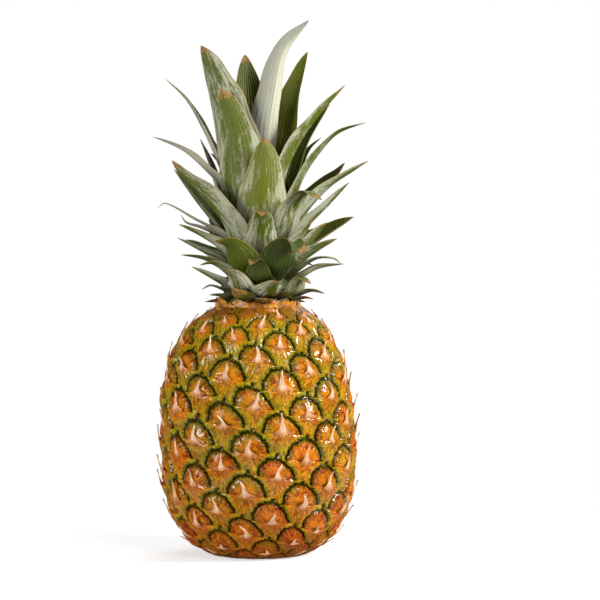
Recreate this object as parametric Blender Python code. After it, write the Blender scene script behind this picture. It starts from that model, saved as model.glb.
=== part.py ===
"""A whole fresh pineapple, standing upright on its base.

The origin is the middle of the flat base, +Z goes up through the crown and the front faces -Y.
Three pieces: the fruit with its spiral of eyes and bract tips, the leafy crown, and the cut stalk
in the middle of the base. Lengths are in metres, and angles in degrees go round from the front
towards +X.
"""

import math
import random

import bmesh
import bpy
import numpy as np
from mathutils import Vector

MM = 0.001
GAP = 0.3 * MM

# The fruit: a barrel whose outline is a superellipse, widest below its middle, with a short neck
BELLY_RADIUS = 56.4 * MM
BELLY_HEIGHT = 63.0 * MM
BELLY_DOWN = 67.2 * MM
BELLY_UP = 86.5 * MM
BARREL_POWER = 2.65
NECK_RADIUS = 25.0 * MM
NECK_JOIN_POWER = 10
FRUIT_TOP = 147.0 * MM
OUTLINE_LOW = -4.1 * MM
OUTLINE_HIGH = 151.0 * MM
OUTLINE_STEPS = 4000

# The upper half stands a little to the left
LEAN = -1.6 * MM
LEAN_FROM = (58.0 * MM, 104.0 * MM)
LEAN_TO = (146.0 * MM, 124.0 * MM)

# The eyes sit on two crossing sets of spirals: 8 climb to the right and 13 climb to the left
RIGHT_SPIRALS = 8
LEFT_SPIRALS = 13
EYE_DIVERGENCE = 137.26
RIGHT_TURNS = 3
LEFT_TURNS = 5
EYE_START = -2.0
EYE_LEVEL = 1.95
EYE_RISE = 0.0218
EYE_SHRINK = 0.6
GRID_PER_EYE = 4

# One eye at the belly: its two nearest neighbours, and how far its parts stand out
RIGHT_STEP = (22.3 * MM, 11.6 * MM)
LEFT_STEP = (-15.7 * MM, 16.7 * MM)
EYE_DOME = 2.3 * MM
DOME_POWER = 2.4
BRACT_LIFT = 1.0 * MM
SKIN_DEPTH = 1.2 * MM
END_FADE = 8.0 * MM

# The dry tip of each bract, as points up the skin, out of it and half its width
TIP_RINGS = (
    (-1.5 * MM, -1.6 * MM, 3.9 * MM, 2.2 * MM),
    (3.6 * MM, 1.6 * MM, 2.5 * MM, 1.3 * MM),
)
TIP_END = (9.2 * MM, 2.9 * MM)
TIP_LOWEST = 4.0 * MM
TIP_SHRINK = 1.3
TIP_HIGHEST = 137.0 * MM
TIP_SEED = 7

# The stalk, cut level with the base
STALK_RADIUS = 12.5 * MM
STALK_DEPTH = 9.0 * MM
STALK_SIDES = 24

# The crown's short stem
STEM_FOOT = FRUIT_TOP + GAP
STEM_TOP = 212.0 * MM
STEM_FOOT_RADIUS = 22.5 * MM
STEM_TOP_RADIUS = 8.0 * MM
STEM_SIDES = 16
ROOT_DEPTH = 0.6

# Leaves, in mm: root angle and height, width, and the places that the middle line goes through to
# the tip
FRONT_LEAVES = (
    # the tall leaves of the middle
    (15, 192, 17, ((3, -9, 245), (7, -8, 272), (14, -7, 299), (30, -6, 316))),
    (150, 194, 19, ((15.5, 8, 245), (19.5, 10, 270), (24.5, 12, 286), (29.5, 14, 299))),
    (185, 194, 25, ((-5, 8, 245), (-6.5, 9, 278), (-8, 10, 297))),
    (-38, 186, 30, ((-13, -12, 222), (-19, -10, 258), (-27, -7, 284), (-34, -5, 301))),
    (-18, 180, 27, ((-10, -17, 215), (-12.5, -18, 240), (-17, -17, 262), (-22, -16, 275))),
    (2, 172, 28, ((2, -21, 195), (3, -24, 215), (4, -25, 232), (4, -25, 246))),
    # the left side, from the top down
    (-100, 186, 12, ((-22, 8, 228), (-33, 10, 253), (-43, 11, 270), (-55.5, 12, 282.5))),
    (-110, 182, 13, ((-23, 12, 213), (-30, 13, 234), (-35, 13, 247))),
    (-88, 184, 16, ((-18, -2, 213), (-31, 0, 228), (-45, 2, 240), (-62.5, 2, 247.5))),
    (-55, 168, 20, ((-18, -22, 195), (-32, -20, 213), (-46, -16, 226), (-51, -14, 233))),
    (-112, 168, 14, ((-23, 4, 192), (-36, 2, 209), (-50, -6, 228))),
    (-85, 166, 13, ((-22, -4, 189), (-38, -4, 199), (-55, -4, 208), (-59.5, -4, 205.5))),
    (-95, 164, 11, ((-20, 0, 186), (-34, 0, 193.5), (-43, 0, 196.5), (-46, 0, 201))),
    (-68, 161, 15, ((-20, -12, 179), (-32, -12, 188), (-47, -12, 195.5))),
    (-100, 160, 12, ((-22, 4, 174), (-34, 4, 180), (-48.5, 4, 187.5))),
    (-78, 157, 12, ((-20, -5, 169), (-32, -5, 175), (-46, -5, 177.5))),
    (-50, 156, 12, ((-17, -19, 166), (-27, -21, 172.5), (-34.5, -22, 171.5))),
    (-66, 153.5, 12, ((-19, -11, 159), (-28, -12, 164.5), (-39.5, -12, 170.5))),
    (-75, 151, 11, ((-19, -7, 156), (-28, -8, 159.5), (-33.5, -8, 157))),
    (-60, 150, 11, ((-18, -13, 152), (-24, -15, 153.7), (-29, -16, 154))),
    (-88, 149.5, 10, ((-20, -3, 149.7), (-32, -3, 149.5))),
    # the right side, from the top down
    (62, 184, 15, ((15, -10, 225), (23, -8, 243), (36, -5, 261), (51.5, -2, 278))),
    (125, 186, 13, ((22, 12, 225), (29, 14, 245), (43, 16, 268))),
    (140, 184, 9, ((22, 16, 222), (30, 18, 240), (38, 20, 248))),
    (80, 178, 13, ((25, -4, 221), (35, -4, 237), (47, -3, 249.5), (64, -2, 256))),
    (72, 172, 16, ((28, -8, 203), (42, -7, 218), (57, -6, 228), (65, -6, 233))),
    (66, 170, 14, ((28, -3, 194), (41, -3, 207), (54, -2, 220.5))),
    (138, 164, 18, ((24, 7, 179), (41, 8, 190.5), (57, 8, 200))),
    (54, 160, 17, ((24, -16, 173), (36, -19, 181.5), (46, -19, 187))),
    (70, 157, 13, ((24, -10, 169), (34, -11, 175.5), (44, -12, 175.5), (49, -12, 172))),
    (95, 155, 12, ((24, 2, 163), (35, 2, 169.5), (51, 2, 172))),
    (80, 151, 10, ((21, -4, 152.5), (31, -5, 156), (39.5, -5, 154.5))),
    (65, 150, 9, ((20, -9, 150.3), (27, -11, 152), (32.5, -12, 151.5))),
    (90, 149.5, 9, ((20, 0, 149.6), (28, 0, 149.3))),
    # the short leaves of the front
    (0, 166, 21, ((1, -27, 186), (2, -32, 197), (2, -36, 202), (2, -39.5, 200))),
    (30, 170, 18, ((15, -24, 192), (20, -28, 207), (28, -31, 214), (37, -33, 209.5))),
    (42, 164, 14, ((21, -22, 182), (28, -25, 193), (32, -27, 199))),
    (50, 162, 16, ((25, -18, 178), (34, -21, 190), (40, -22, 196.5))),
    (22, 157, 25, ((10, -31.5, 170), (14, -36.5, 180.5), (20.5, -39, 184.5), (27, -40, 179))),
    (-20, 158, 21, ((-9, -31, 171), (-15, -36, 182), (-25, -38, 186))),
    (-2, 153, 18, ((-0, -33, 164), (-1, -38, 173), (-3, -41.5, 175), (-5, -43.5, 172))),
    (-30, 152, 18, ((-11, -30, 158), (-15, -35, 166), (-21, -37, 168.5))),
    (12, 150.5, 22, ((6, -31, 154.5), (9, -37, 160), (12, -39, 162))),
    (40, 151, 17, ((20, -26, 156), (25, -31, 164), (30.5, -33, 161))),
    (-20, 150, 16, ((-9, -30, 152), (-13, -35, 156), (-15, -37, 158.5))),
    (6, 149.5, 17, ((4, -28, 150), (7, -34, 152))),
)
BACK_LIMIT = 62
BACK_TURN = 172.0
BACK_TURN_DRIFT = 9.0
BACK_REACH = (0.86, 1.0)
BACK_TALLEST = 238.0
BACK_SEED = 22

LEAF_THICKNESS = 2.6 * MM
LEAF_TIP_THICKNESS = 1.0 * MM
LEAF_CUP_ROOT = 0.26
LEAF_CUP_TIP = 0.18
LEAF_RING_LENGTH = 13.0 * MM
LEAF_RING_CROWDING = 1.35
LEAF_FEWEST_RINGS = 4
LEAF_TAPER = 3.0
LEAF_TAPER_RISE = 0.14
LEAF_NARROW = 13.0
LEAF_TAPER_ROUND = 0.8
LEAF_LOWEST = FRUIT_TOP + 0.8 * MM
LEAF_REST_BLEND = 1.0 * MM

# Colour as (red, green, blue) and roughness
SKIN_LOOK = ((0.50, 0.27, 0.05), 0.45)
LEAF_LOOK = ((0.10, 0.19, 0.07), 0.5)
STALK_LOOK = ((0.45, 0.36, 0.18), 0.8)


def clear_scene():
    for leftover in list(bpy.data.objects):
        bpy.data.objects.remove(leftover, do_unlink=True)


def new_collection(name):
    collection = bpy.data.collections.new(name)
    bpy.context.scene.collection.children.link(collection)
    return collection


def new_material(name, look):
    colour, roughness = look
    made = bpy.data.materials.new(name)
    made.use_nodes = True
    shader = made.node_tree.nodes["Principled BSDF"]
    shader.inputs["Base Color"].default_value = (*colour, 1.0)
    shader.inputs["Roughness"].default_value = roughness
    shader.inputs["Metallic"].default_value = 0.0
    return made


def new_object(name, shape, collection):
    """An object from a bmesh, which is freed."""
    mesh = bpy.data.meshes.new(name)
    shape.to_mesh(mesh)
    shape.free()
    made = bpy.data.objects.new(name, mesh)
    collection.objects.link(made)
    return made


def apply_modifiers(made):
    """Puts what the modifiers make into the object's own mesh."""
    graph = bpy.context.evaluated_depsgraph_get()
    mesh = bpy.data.meshes.new_from_object(made.evaluated_get(graph))
    made.modifiers.clear()
    made.data = mesh


def blend(low, high, value):
    """0 below low, 1 above high and an even S between them."""
    share = np.clip((value - low) / (high - low), 0.0, 1.0)
    return share * share * (3.0 - 2.0 * share)


# The skin's outline

def outline_radius(height):
    reach = np.where(height < BELLY_HEIGHT, BELLY_DOWN, BELLY_UP)
    share = np.abs((height - BELLY_HEIGHT) / reach)
    left = np.clip(1.0 - share**BARREL_POWER, 0.0, 1.0)
    barrel = BELLY_RADIUS * left ** (1.0 / BARREL_POWER)
    neck = NECK_RADIUS * blend(0.0, BELLY_HEIGHT, height)
    return (barrel**NECK_JOIN_POWER + neck**NECK_JOIN_POWER) ** (1.0 / NECK_JOIN_POWER)


def lean(height):
    return LEAN * blend(*LEAN_FROM, height) * blend(*LEAN_TO, height)


def outline_table():
    """Heights up the outline, and the spirals' climb to each: rings of smaller eyes at both ends."""
    heights = np.linspace(OUTLINE_LOW, OUTLINE_HIGH, OUTLINE_STEPS)
    radii = outline_radius(heights)
    middles = (radii[1:] + radii[:-1]) / 2.0
    lengths = np.hypot(np.diff(heights), np.diff(radii))
    eye_sizes = BELLY_RADIUS * (middles / BELLY_RADIUS) ** EYE_SHRINK
    climb = np.concatenate([[0.0], np.cumsum(lengths / eye_sizes)])
    return heights, climb - np.interp(0.0, heights, climb)


OUTLINE_HEIGHTS, OUTLINE_CLIMB = outline_table()


def outline_frame(height):
    """The radius and the outward normal's two parts, out and up, at a height."""
    reach = 0.2 * MM
    below = outline_radius(height - reach)
    above = outline_radius(height + reach)
    out = np.full_like(height, 2.0 * reach)
    up = below - above
    length = np.hypot(out, up)
    return outline_radius(height), out / length, up / length


# Places on the skin, counted in eyes along the two sets of spirals

def skin_place(right, left):
    """The angle in radians and the height of a place on the skin."""
    order = RIGHT_SPIRALS * right + LEFT_SPIRALS * left
    height = np.interp(EYE_LEVEL + EYE_RISE * order, OUTLINE_CLIMB, OUTLINE_HEIGHTS)
    right_turn = RIGHT_SPIRALS * EYE_DIVERGENCE - RIGHT_TURNS * 360.0
    left_turn = LEFT_SPIRALS * EYE_DIVERGENCE - LEFT_TURNS * 360.0
    return np.radians(EYE_START + right_turn * right + left_turn * left), height


def skin_point(angle, height, lift):
    """The point that stands out of the smooth barrel by lift."""
    radius, out, up = outline_frame(height)
    reach = radius + lift * out
    side = reach * np.sin(angle) + lean(height)
    return np.stack([side, -reach * np.cos(angle), height + lift * up], axis=-1)


def nearest_eye(right, left):
    """How far across and up a place lies from the eye that it belongs to."""
    best = None
    for right_shift in (-1, 0, 1):
        for left_shift in (-1, 0, 1):
            by_right = right - np.round(right) - right_shift
            by_left = left - np.round(left) - left_shift
            across = by_right * RIGHT_STEP[0] + by_left * LEFT_STEP[0]
            up = by_right * RIGHT_STEP[1] + by_left * LEFT_STEP[1]
            distance = np.hypot(across, up)
            if best is None:
                best = (distance, across, up)
                continue
            closer = distance < best[0]
            best = tuple(
                np.where(closer, new, old)
                for new, old in zip((distance, across, up), best)
            )
    return best[1], best[2]


def eye_edge_share(across, up):
    """0 in the middle of an eye and 1 in the groove round it."""
    upward = (RIGHT_STEP[0] + LEFT_STEP[0], RIGHT_STEP[1] + LEFT_STEP[1])
    share = np.zeros_like(across)
    for step in (RIGHT_STEP, LEFT_STEP, upward):
        half = (step[0] ** 2 + step[1] ** 2) / 2.0
        share = np.maximum(share, np.abs(across * step[0] + up * step[1]) / half)
    return np.clip(share, 0.0, 1.0)


def eye_relief(right, left, height):
    """How far the skin stands out of the barrel: a dome for each eye, fuller where its bract is."""
    across, up = nearest_eye(right, left)
    edge = eye_edge_share(across, up)
    dome = EYE_DOME * (1.0 - edge**DOME_POWER)
    bract = BRACT_LIFT * blend(1.5 * MM, -2.0 * MM, up) * (1.0 - edge**4)
    size = outline_radius(height) / BELLY_RADIUS
    ends = blend(-0.5 * END_FADE, END_FADE, height)
    ends = ends * blend(-0.5 * END_FADE, END_FADE, FRUIT_TOP - height)
    return (dome + bract - SKIN_DEPTH) * size * ends


# The fruit

def skin_shape():
    """The skin as a grid whose lines follow the spirals, joined round and cut flat at both ends."""
    round_cells = LEFT_SPIRALS * GRID_PER_EYE
    lowest = (OUTLINE_CLIMB[0] - EYE_LEVEL) / EYE_RISE
    highest = (OUTLINE_CLIMB[-1] - EYE_LEVEL) / EYE_RISE
    first = math.floor(GRID_PER_EYE * (lowest / LEFT_SPIRALS - RIGHT_SPIRALS))
    last = math.ceil(GRID_PER_EYE * highest / LEFT_SPIRALS)
    shape = bmesh.new()
    bmesh.ops.create_grid(
        shape, x_segments=round_cells, y_segments=last - first, size=0.5
    )
    corners = np.array([corner.co for corner in shape.verts])
    right = np.round((corners[:, 0] + 0.5) * round_cells) / GRID_PER_EYE
    left = (first + np.round((corners[:, 1] + 0.5) * (last - first))) / GRID_PER_EYE
    order = RIGHT_SPIRALS * right + LEFT_SPIRALS * left
    angle, height = skin_place(right, left)
    places = skin_point(angle, height, eye_relief(right, left, height))
    beyond = []
    for corner, place, count in zip(shape.verts, places, order):
        corner.co = place
        if not lowest < count < highest:
            beyond.append(corner)
    bmesh.ops.delete(shape, geom=beyond, context="VERTS")
    bmesh.ops.remove_doubles(shape, verts=shape.verts, dist=0.01 * MM)
    for level, outward in ((0.0, -1.0), (FRUIT_TOP, 1.0)):
        cut_flat(shape, level, outward)
    bmesh.ops.triangulate(shape, faces=shape.faces, quad_method="SHORT_EDGE")
    bmesh.ops.recalc_face_normals(shape, faces=shape.faces)
    return shape


def cut_flat(shape, level, outward):
    """Cuts off what lies beyond a level, and closes the cut with one flat face."""
    bmesh.ops.bisect_plane(
        shape,
        geom=shape.verts[:] + shape.edges[:] + shape.faces[:],
        dist=0.001 * MM,
        plane_co=(0.0, 0.0, level),
        plane_no=(0.0, 0.0, outward),
        clear_outer=True,
    )
    rim = [
        edge
        for edge in shape.edges
        if edge.is_boundary and all(abs(end.co.z - level) < 0.01 * MM for end in edge.verts)
    ]
    bmesh.ops.edgeloop_fill(shape, edges=rim)


def loft(rings):
    """A closed shape through rings of points, ending in one point.

    Each four-sided stretch is split from its even corner, so that a blade whose edges are the even
    points has like triangles on both faces, which then can't cross.
    """
    shape = bmesh.new()
    made = [[shape.verts.new(point) for point in ring] for ring in rings]
    shape.faces.new(reversed(made[0]))
    for low, high in zip(made, made[1:-1]):
        for index in range(len(low)):
            after = (index + 1) % len(low)
            if index % 2 == 0:
                shape.faces.new((low[index], low[after], high[after]))
                shape.faces.new((low[index], high[after], high[index]))
            else:
                shape.faces.new((low[index], low[after], high[index]))
                shape.faces.new((low[after], high[after], high[index]))
    last = made[-2]
    for index, corner in enumerate(last):
        shape.faces.new((corner, last[(index + 1) % len(last)], made[-1][0]))
    bmesh.ops.recalc_face_normals(shape, faces=shape.faces)
    return shape


def bract_tips(collection):
    """The dry tip in the middle of each eye, three-sided and bent a little, each with its own lean."""
    draw = random.Random(TIP_SEED)
    lowest = math.floor((0.0 - EYE_LEVEL) / EYE_RISE)
    highest = math.ceil((OUTLINE_CLIMB[-1] - EYE_LEVEL) / EYE_RISE)
    for order in range(lowest, highest):
        right, left = eye_of_order(order)
        angle, height = skin_place(np.array([right]), np.array([left]))
        scale = draw.uniform(0.82, 1.15)
        aside = draw.uniform(-0.22, 0.22)
        if not TIP_LOWEST < height[0] < TIP_HIGHEST:
            continue
        lift = eye_relief(np.array([right]), np.array([left]), height)
        place = Vector(skin_point(angle, height, lift)[0])
        radius, out, up = (float(part[0]) for part in outline_frame(height))
        scale *= (radius / BELLY_RADIUS) ** TIP_SHRINK
        turn = float(angle[0])
        front = Vector((out * math.sin(turn), -out * math.cos(turn), up))
        across = Vector((math.cos(turn), math.sin(turn), 0.0))
        along = front.cross(across)
        along = (along + aside * across).normalized()
        rings = []
        for climb, stand, half, ridge in TIP_RINGS:
            middle = place + scale * (climb * along + stand * front)
            rings.append(
                [
                    middle - scale * half * across,
                    middle + scale * half * across,
                    middle + scale * ridge * front,
                ]
            )
        rings.append([place + scale * (TIP_END[0] * along + TIP_END[1] * front)])
        new_object(f"tip_{order}", loft(rings), collection)


def eye_of_order(order):
    """The place, in eyes along the two sets of spirals, of the eye with this number from the middle."""
    left = (order * pow(LEFT_SPIRALS, -1, RIGHT_SPIRALS)) % RIGHT_SPIRALS
    return (order - LEFT_SPIRALS * left) // RIGHT_SPIRALS, left


def fuse(made, repeats):
    """Joins a collection's repeats to the object they grow from, and removes the repeats."""
    union = made.modifiers.new("union", "BOOLEAN")
    union.operation = "UNION"
    union.operand_type = "COLLECTION"
    union.collection = repeats
    union.solver = "MANIFOLD"
    apply_modifiers(made)
    for repeat in list(repeats.objects):
        bpy.data.objects.remove(repeat, do_unlink=True)
    bpy.data.collections.remove(repeats)
    keep_largest_body(made)


def keep_largest_body(made):
    """Fills hollows that the fusing sealed and drops loose scraps: only the largest surface stays."""
    shape = bmesh.new()
    shape.from_mesh(made.data)
    unseen = set(shape.faces)
    bodies = []
    while unseen:
        body = [unseen.pop()]
        for face in body:
            beside = {other for edge in face.edges for other in edge.link_faces}
            body.extend(beside & unseen)
            unseen -= beside
        bodies.append(body)
    bodies.sort(key=len)
    for body in bodies[:-1]:
        bmesh.ops.delete(shape, geom=body, context="FACES")
    shape.to_mesh(made.data)
    shape.free()


def make_fruit(parts, cutters):
    fruit = new_object("fruit", skin_shape(), parts)
    tips = new_collection("bract_tips")
    bract_tips(tips)
    fuse(fruit, tips)
    socket = bmesh.new()
    bmesh.ops.create_cone(
        socket,
        cap_ends=True,
        segments=STALK_SIDES,
        radius1=STALK_RADIUS + GAP,
        radius2=STALK_RADIUS + GAP,
        depth=2.0 * (STALK_DEPTH + GAP),
    )
    cutter = new_object("stalk_socket_cutter", socket, cutters)
    cutter.hide_render = True
    cutter.display_type = "WIRE"
    cut = fruit.modifiers.new("stalk socket", "BOOLEAN")
    cut.operation = "DIFFERENCE"
    cut.object = cutter
    fruit.data.materials.clear()
    fruit.data.materials.append(new_material("pineapple_skin", SKIN_LOOK))
    return fruit


def make_stalk(parts):
    disc = bmesh.new()
    bmesh.ops.create_cone(
        disc,
        cap_ends=True,
        segments=STALK_SIDES,
        radius1=STALK_RADIUS,
        radius2=STALK_RADIUS,
        depth=STALK_DEPTH,
    )
    bmesh.ops.translate(disc, verts=disc.verts, vec=(0.0, 0.0, STALK_DEPTH / 2.0))
    stalk = new_object("stalk", disc, parts)
    stalk.data.materials.append(new_material("cut_stalk", STALK_LOOK))
    return stalk


# The crown

def stem_radius(height):
    share = (height - STEM_FOOT) / (STEM_TOP - STEM_FOOT)
    return STEM_FOOT_RADIUS + (STEM_TOP_RADIUS - STEM_FOOT_RADIUS) * share


def turned(place, turn, reach, root_height):
    """A place of a leaf, moved round the stem and drawn in towards the leaf's root."""
    cosine = math.cos(math.radians(turn))
    sine = math.sin(math.radians(turn))
    side, depth, height = place
    return (
        reach * (side * cosine - depth * sine),
        reach * (side * sine + depth * cosine),
        root_height + reach * (height - root_height),
    )


def back_leaves():
    """The leaves of the back: the front's, turned round the stem, each a little different."""
    draw = random.Random(BACK_SEED)
    for angle, root_height, width, route in FRONT_LEAVES:
        if abs(angle) > BACK_LIMIT:
            continue
        turn = BACK_TURN + draw.uniform(-BACK_TURN_DRIFT, BACK_TURN_DRIFT)
        reach = draw.uniform(*BACK_REACH)
        reach = min(reach, (BACK_TALLEST - root_height) / (route[-1][2] - root_height))
        behind = tuple(turned(place, turn, reach, root_height) for place in route)
        yield angle + turn, root_height, width * draw.uniform(0.9, 1.05), behind


def leaf_route(angle, root_height, route):
    """The points that a leaf's middle line goes through, from its root in the stem to its tip."""
    turn = math.radians(angle)
    depth = ROOT_DEPTH * stem_radius(root_height * MM)
    root = Vector((depth * math.sin(turn), -depth * math.cos(turn), root_height * MM))
    return [root] + [Vector(place) * MM for place in route]


def along_route(places, share):
    """The place and the direction at a share of the way, on a smooth curve through the places."""
    lengths = [(after - before).length for before, after in zip(places, places[1:])]
    left = share * sum(lengths)
    index = 0
    while index < len(lengths) - 1 and left > lengths[index]:
        left -= lengths[index]
        index += 1
    start, end = places[index], places[index + 1]
    before = places[index - 1] if index else 2.0 * start - end
    after = places[index + 2] if index + 2 < len(places) else 2.0 * end - start
    leave = (end - before) / (lengths[index] + (start - before).length)
    arrive = (after - start) / (lengths[index] + (after - end).length)
    part = min(1.0, left / lengths[index])
    arms = lengths[index] / 3.0
    return cubic(start, start + arms * leave, end - arms * arrive, end, part)


def cubic(first, second, third, fourth, share):
    """The place and the direction on a Bezier curve."""
    left = 1.0 - share
    low = left * first + share * second
    middle = left * second + share * third
    high = left * third + share * fourth
    low, high = left * low + share * middle, left * middle + share * high
    return left * low + share * high, (high - low).normalized()


def leaf_width_share(share, width):
    """A leaf's width along it: a little narrowed at the root, full, then tapered to the tip."""
    power = LEAF_TAPER + LEAF_TAPER_RISE * max(0.0, width - LEAF_NARROW)
    taper = max(0.0, 1.0 - share**power) ** LEAF_TAPER_ROUND
    return taper * (0.9 + 0.2 * math.sin(math.pi * min(1.0, 1.3 * share)))


def above_fruit(place):
    """The lowest leaves lie on the fruit: a place that would sink into its top is eased above it."""
    rise = (place.z - LEAF_LOWEST) / LEAF_REST_BLEND
    if rise < 20.0:
        place.z = LEAF_LOWEST + LEAF_REST_BLEND * math.log1p(math.exp(rise))
    return place


def leaf_shape(angle, root_height, width, route):
    """A channelled blade: each ring has two raised edges, a keel outside and a sunken middle."""
    places = leaf_route(angle, root_height, route)
    length = sum((after - before).length for before, after in zip(places, places[1:]))
    count = max(LEAF_FEWEST_RINGS, round(length / LEAF_RING_LENGTH))
    turn = math.radians(angle)
    sideways = Vector((math.cos(turn), math.sin(turn), 0.0))
    rings = []
    for step in range(count):
        share = 1.0 - (1.0 - step / count) ** LEAF_RING_CROWDING
        place, along = along_route(places, share)
        across = (sideways - along * sideways.dot(along)).normalized()
        inner = along.cross(across)
        half = 0.5 * width * MM * leaf_width_share(share, width)
        cup = 2.0 * half * (LEAF_CUP_ROOT + (LEAF_CUP_TIP - LEAF_CUP_ROOT) * share)
        thick = LEAF_THICKNESS + (LEAF_TIP_THICKNESS - LEAF_THICKNESS) * share
        rings.append(
            [
                above_fruit(place - half * across + cup * inner),
                above_fruit(place - 0.5 * thick * inner),
                above_fruit(place + half * across + cup * inner),
                above_fruit(place + 0.5 * thick * inner),
            ]
        )
    rings.append([above_fruit(places[-1].copy())])
    return loft(rings)


def make_crown(parts):
    stem = bmesh.new()
    bmesh.ops.create_cone(
        stem,
        cap_ends=True,
        segments=STEM_SIDES,
        radius1=STEM_FOOT_RADIUS,
        radius2=STEM_TOP_RADIUS,
        depth=STEM_TOP - STEM_FOOT,
    )
    bmesh.ops.translate(stem, verts=stem.verts, vec=(0.0, 0.0, (STEM_TOP + STEM_FOOT) / 2.0))
    crown = new_object("crown", stem, parts)
    leaves = new_collection("leaves")
    for number, leaf in enumerate((*FRONT_LEAVES, *back_leaves())):
        new_object(f"leaf_{number}", leaf_shape(*leaf), leaves)
    fuse(crown, leaves)
    crown.data.materials.clear()
    crown.data.materials.append(new_material("crown_leaf", LEAF_LOOK))
    return crown


def main():
    clear_scene()
    parts = new_collection("pineapple")
    cutters = new_collection("cutters")
    make_fruit(parts, cutters)
    make_stalk(parts)
    make_crown(parts)
    for part in parts.objects:
        part.data.shade_smooth()
        part.data.set_sharp_from_angle(angle=math.radians(40.0))


main()
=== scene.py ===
"""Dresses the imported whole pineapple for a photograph: its skin of eyes, the dry bract tips, the
leafy crown, the cut stalk and the studio round it.

The origin is the middle of the flat base, +Z goes up through the crown and the front faces -Y.
Lengths are in metres, and angles in degrees go round from the front towards +X.
"""

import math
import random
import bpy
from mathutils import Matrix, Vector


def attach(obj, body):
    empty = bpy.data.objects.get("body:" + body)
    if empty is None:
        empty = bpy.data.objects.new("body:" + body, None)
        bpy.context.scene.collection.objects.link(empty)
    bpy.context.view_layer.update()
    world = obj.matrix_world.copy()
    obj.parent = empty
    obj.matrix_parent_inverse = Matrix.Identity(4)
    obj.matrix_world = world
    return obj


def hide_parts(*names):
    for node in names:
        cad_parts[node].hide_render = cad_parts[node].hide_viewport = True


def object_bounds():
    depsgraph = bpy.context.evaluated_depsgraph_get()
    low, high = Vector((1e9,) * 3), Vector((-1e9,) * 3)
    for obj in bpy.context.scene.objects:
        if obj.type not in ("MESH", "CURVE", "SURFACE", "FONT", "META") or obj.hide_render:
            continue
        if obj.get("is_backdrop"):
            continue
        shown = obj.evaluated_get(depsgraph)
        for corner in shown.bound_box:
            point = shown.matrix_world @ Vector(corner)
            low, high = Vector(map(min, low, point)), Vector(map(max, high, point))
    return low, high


bl_info = {
    "name": "Whole Pineapple",
    "version": (1, 0, 0),
    "blender": (4, 5, 0),
    "location": "View3D > Sidebar > Pineapple",
    "description": "Builds a whole pineapple with its crown, and a plain studio round it",
    "category": "Add Mesh",
}

import bpy
import numpy as np
from bpy.props import FloatProperty, FloatVectorProperty, IntProperty, PointerProperty
from mathutils import Vector

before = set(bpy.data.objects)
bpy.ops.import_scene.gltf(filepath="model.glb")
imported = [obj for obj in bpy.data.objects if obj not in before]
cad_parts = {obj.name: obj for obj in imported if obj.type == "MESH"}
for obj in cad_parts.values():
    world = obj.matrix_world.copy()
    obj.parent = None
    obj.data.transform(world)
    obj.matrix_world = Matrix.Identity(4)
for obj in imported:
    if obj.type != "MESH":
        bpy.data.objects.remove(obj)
CAD_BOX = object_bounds()
BODY = "root"
MM = 0.001

# The fruit's outline, as in the CAD model
FRUIT_TOP = 147.0 * MM
BELLY_HEIGHT = 63.0 * MM
BELLY_DOWN = 67.2 * MM
BELLY_UP = 86.5 * MM
BARREL_POWER = 2.65
NECK_JOIN_POWER = 10
OUTLINE_LOW = -4.1 * MM
OUTLINE_HIGH = 151.0 * MM
OUTLINE_STEPS = 4000
LEAN = -1.6 * MM
LEAN_FROM = (58.0 * MM, 104.0 * MM)
LEAN_TO = (146.0 * MM, 124.0 * MM)

# The eyes' spirals, as in the CAD model
RIGHT_SPIRALS = 8
LEFT_SPIRALS = 13
EYE_DIVERGENCE = 137.26
RIGHT_TURNS = 3
LEFT_TURNS = 5
EYE_START = -2.0
EYE_LEVEL = 1.95
EYE_RISE = 0.0218
EYE_SHRINK = 0.6

# One eye of the belly, in mm: its neighbours up to the right and up to the left, and its shape
RIGHT_STEP = (22.3, 11.6)
LEFT_STEP = (-15.7, 16.7)
ARCH_HALF = 12.9
ARCH_HEIGHT = 13.0
ARCH_VARIETY = 0.05
ARCH_SCALLOPS = ((9.0, 1.0, 0.018), (19.0, 2.3, 0.020), (33.0, 3.1, 0.015))
TONGUE_HALF = 5.0
WING_REACH = 18.6
TONGUE_LENGTH = 9.5
WING_UPTURN = 0.4
WING_SLOPE = -0.045
WING_TILT = 0.05
EYE_WAVER = 0.045
# Past any distance within an eye
FAR = 9.0

STALK_RADIUS = 12.5 * MM
STALK_DEPTH = 9.0 * MM
STALK_GAP = 0.2 * MM
# How far from the fruit's ends its relief begins, and is whole
RELIEF_ENDS = (-4.0 * MM, 8.0 * MM)

# The dry tips of the bracts: the lowest and highest that grow
TIP_HEIGHTS = (3.0 * MM, 141.0 * MM)
TIP_THICKNESS = 0.5 * MM
TIP_SEED = 19

# Rings of small bracts round the neck: height and radius of their feet, how many, width, length and
# how far they lean in
NECK_RINGS = (
    (140.2 * MM, 33.4 * MM, 11, 20.0 * MM, 6.5 * MM, 0.6),
    (143.0 * MM, 29.2 * MM, 10, 19.0 * MM, 7.0 * MM, 0.4),
    (145.5 * MM, 26.2 * MM, 9, 20.0 * MM, 9.0 * MM, 0.12),
    (147.0 * MM, 24.8 * MM, 8, 20.0 * MM, 9.0 * MM, 0.05),
)
NECK_THICKNESS = 0.8 * MM
NECK_SEED = 7

CREASE_ANGLE = 60.0

EYES_MAP = "eyes"
LEAF_MAP = "blade"
LEAF_LOOK = "leaf_look"
LEAF_SIZE = "leaf_size"


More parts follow.
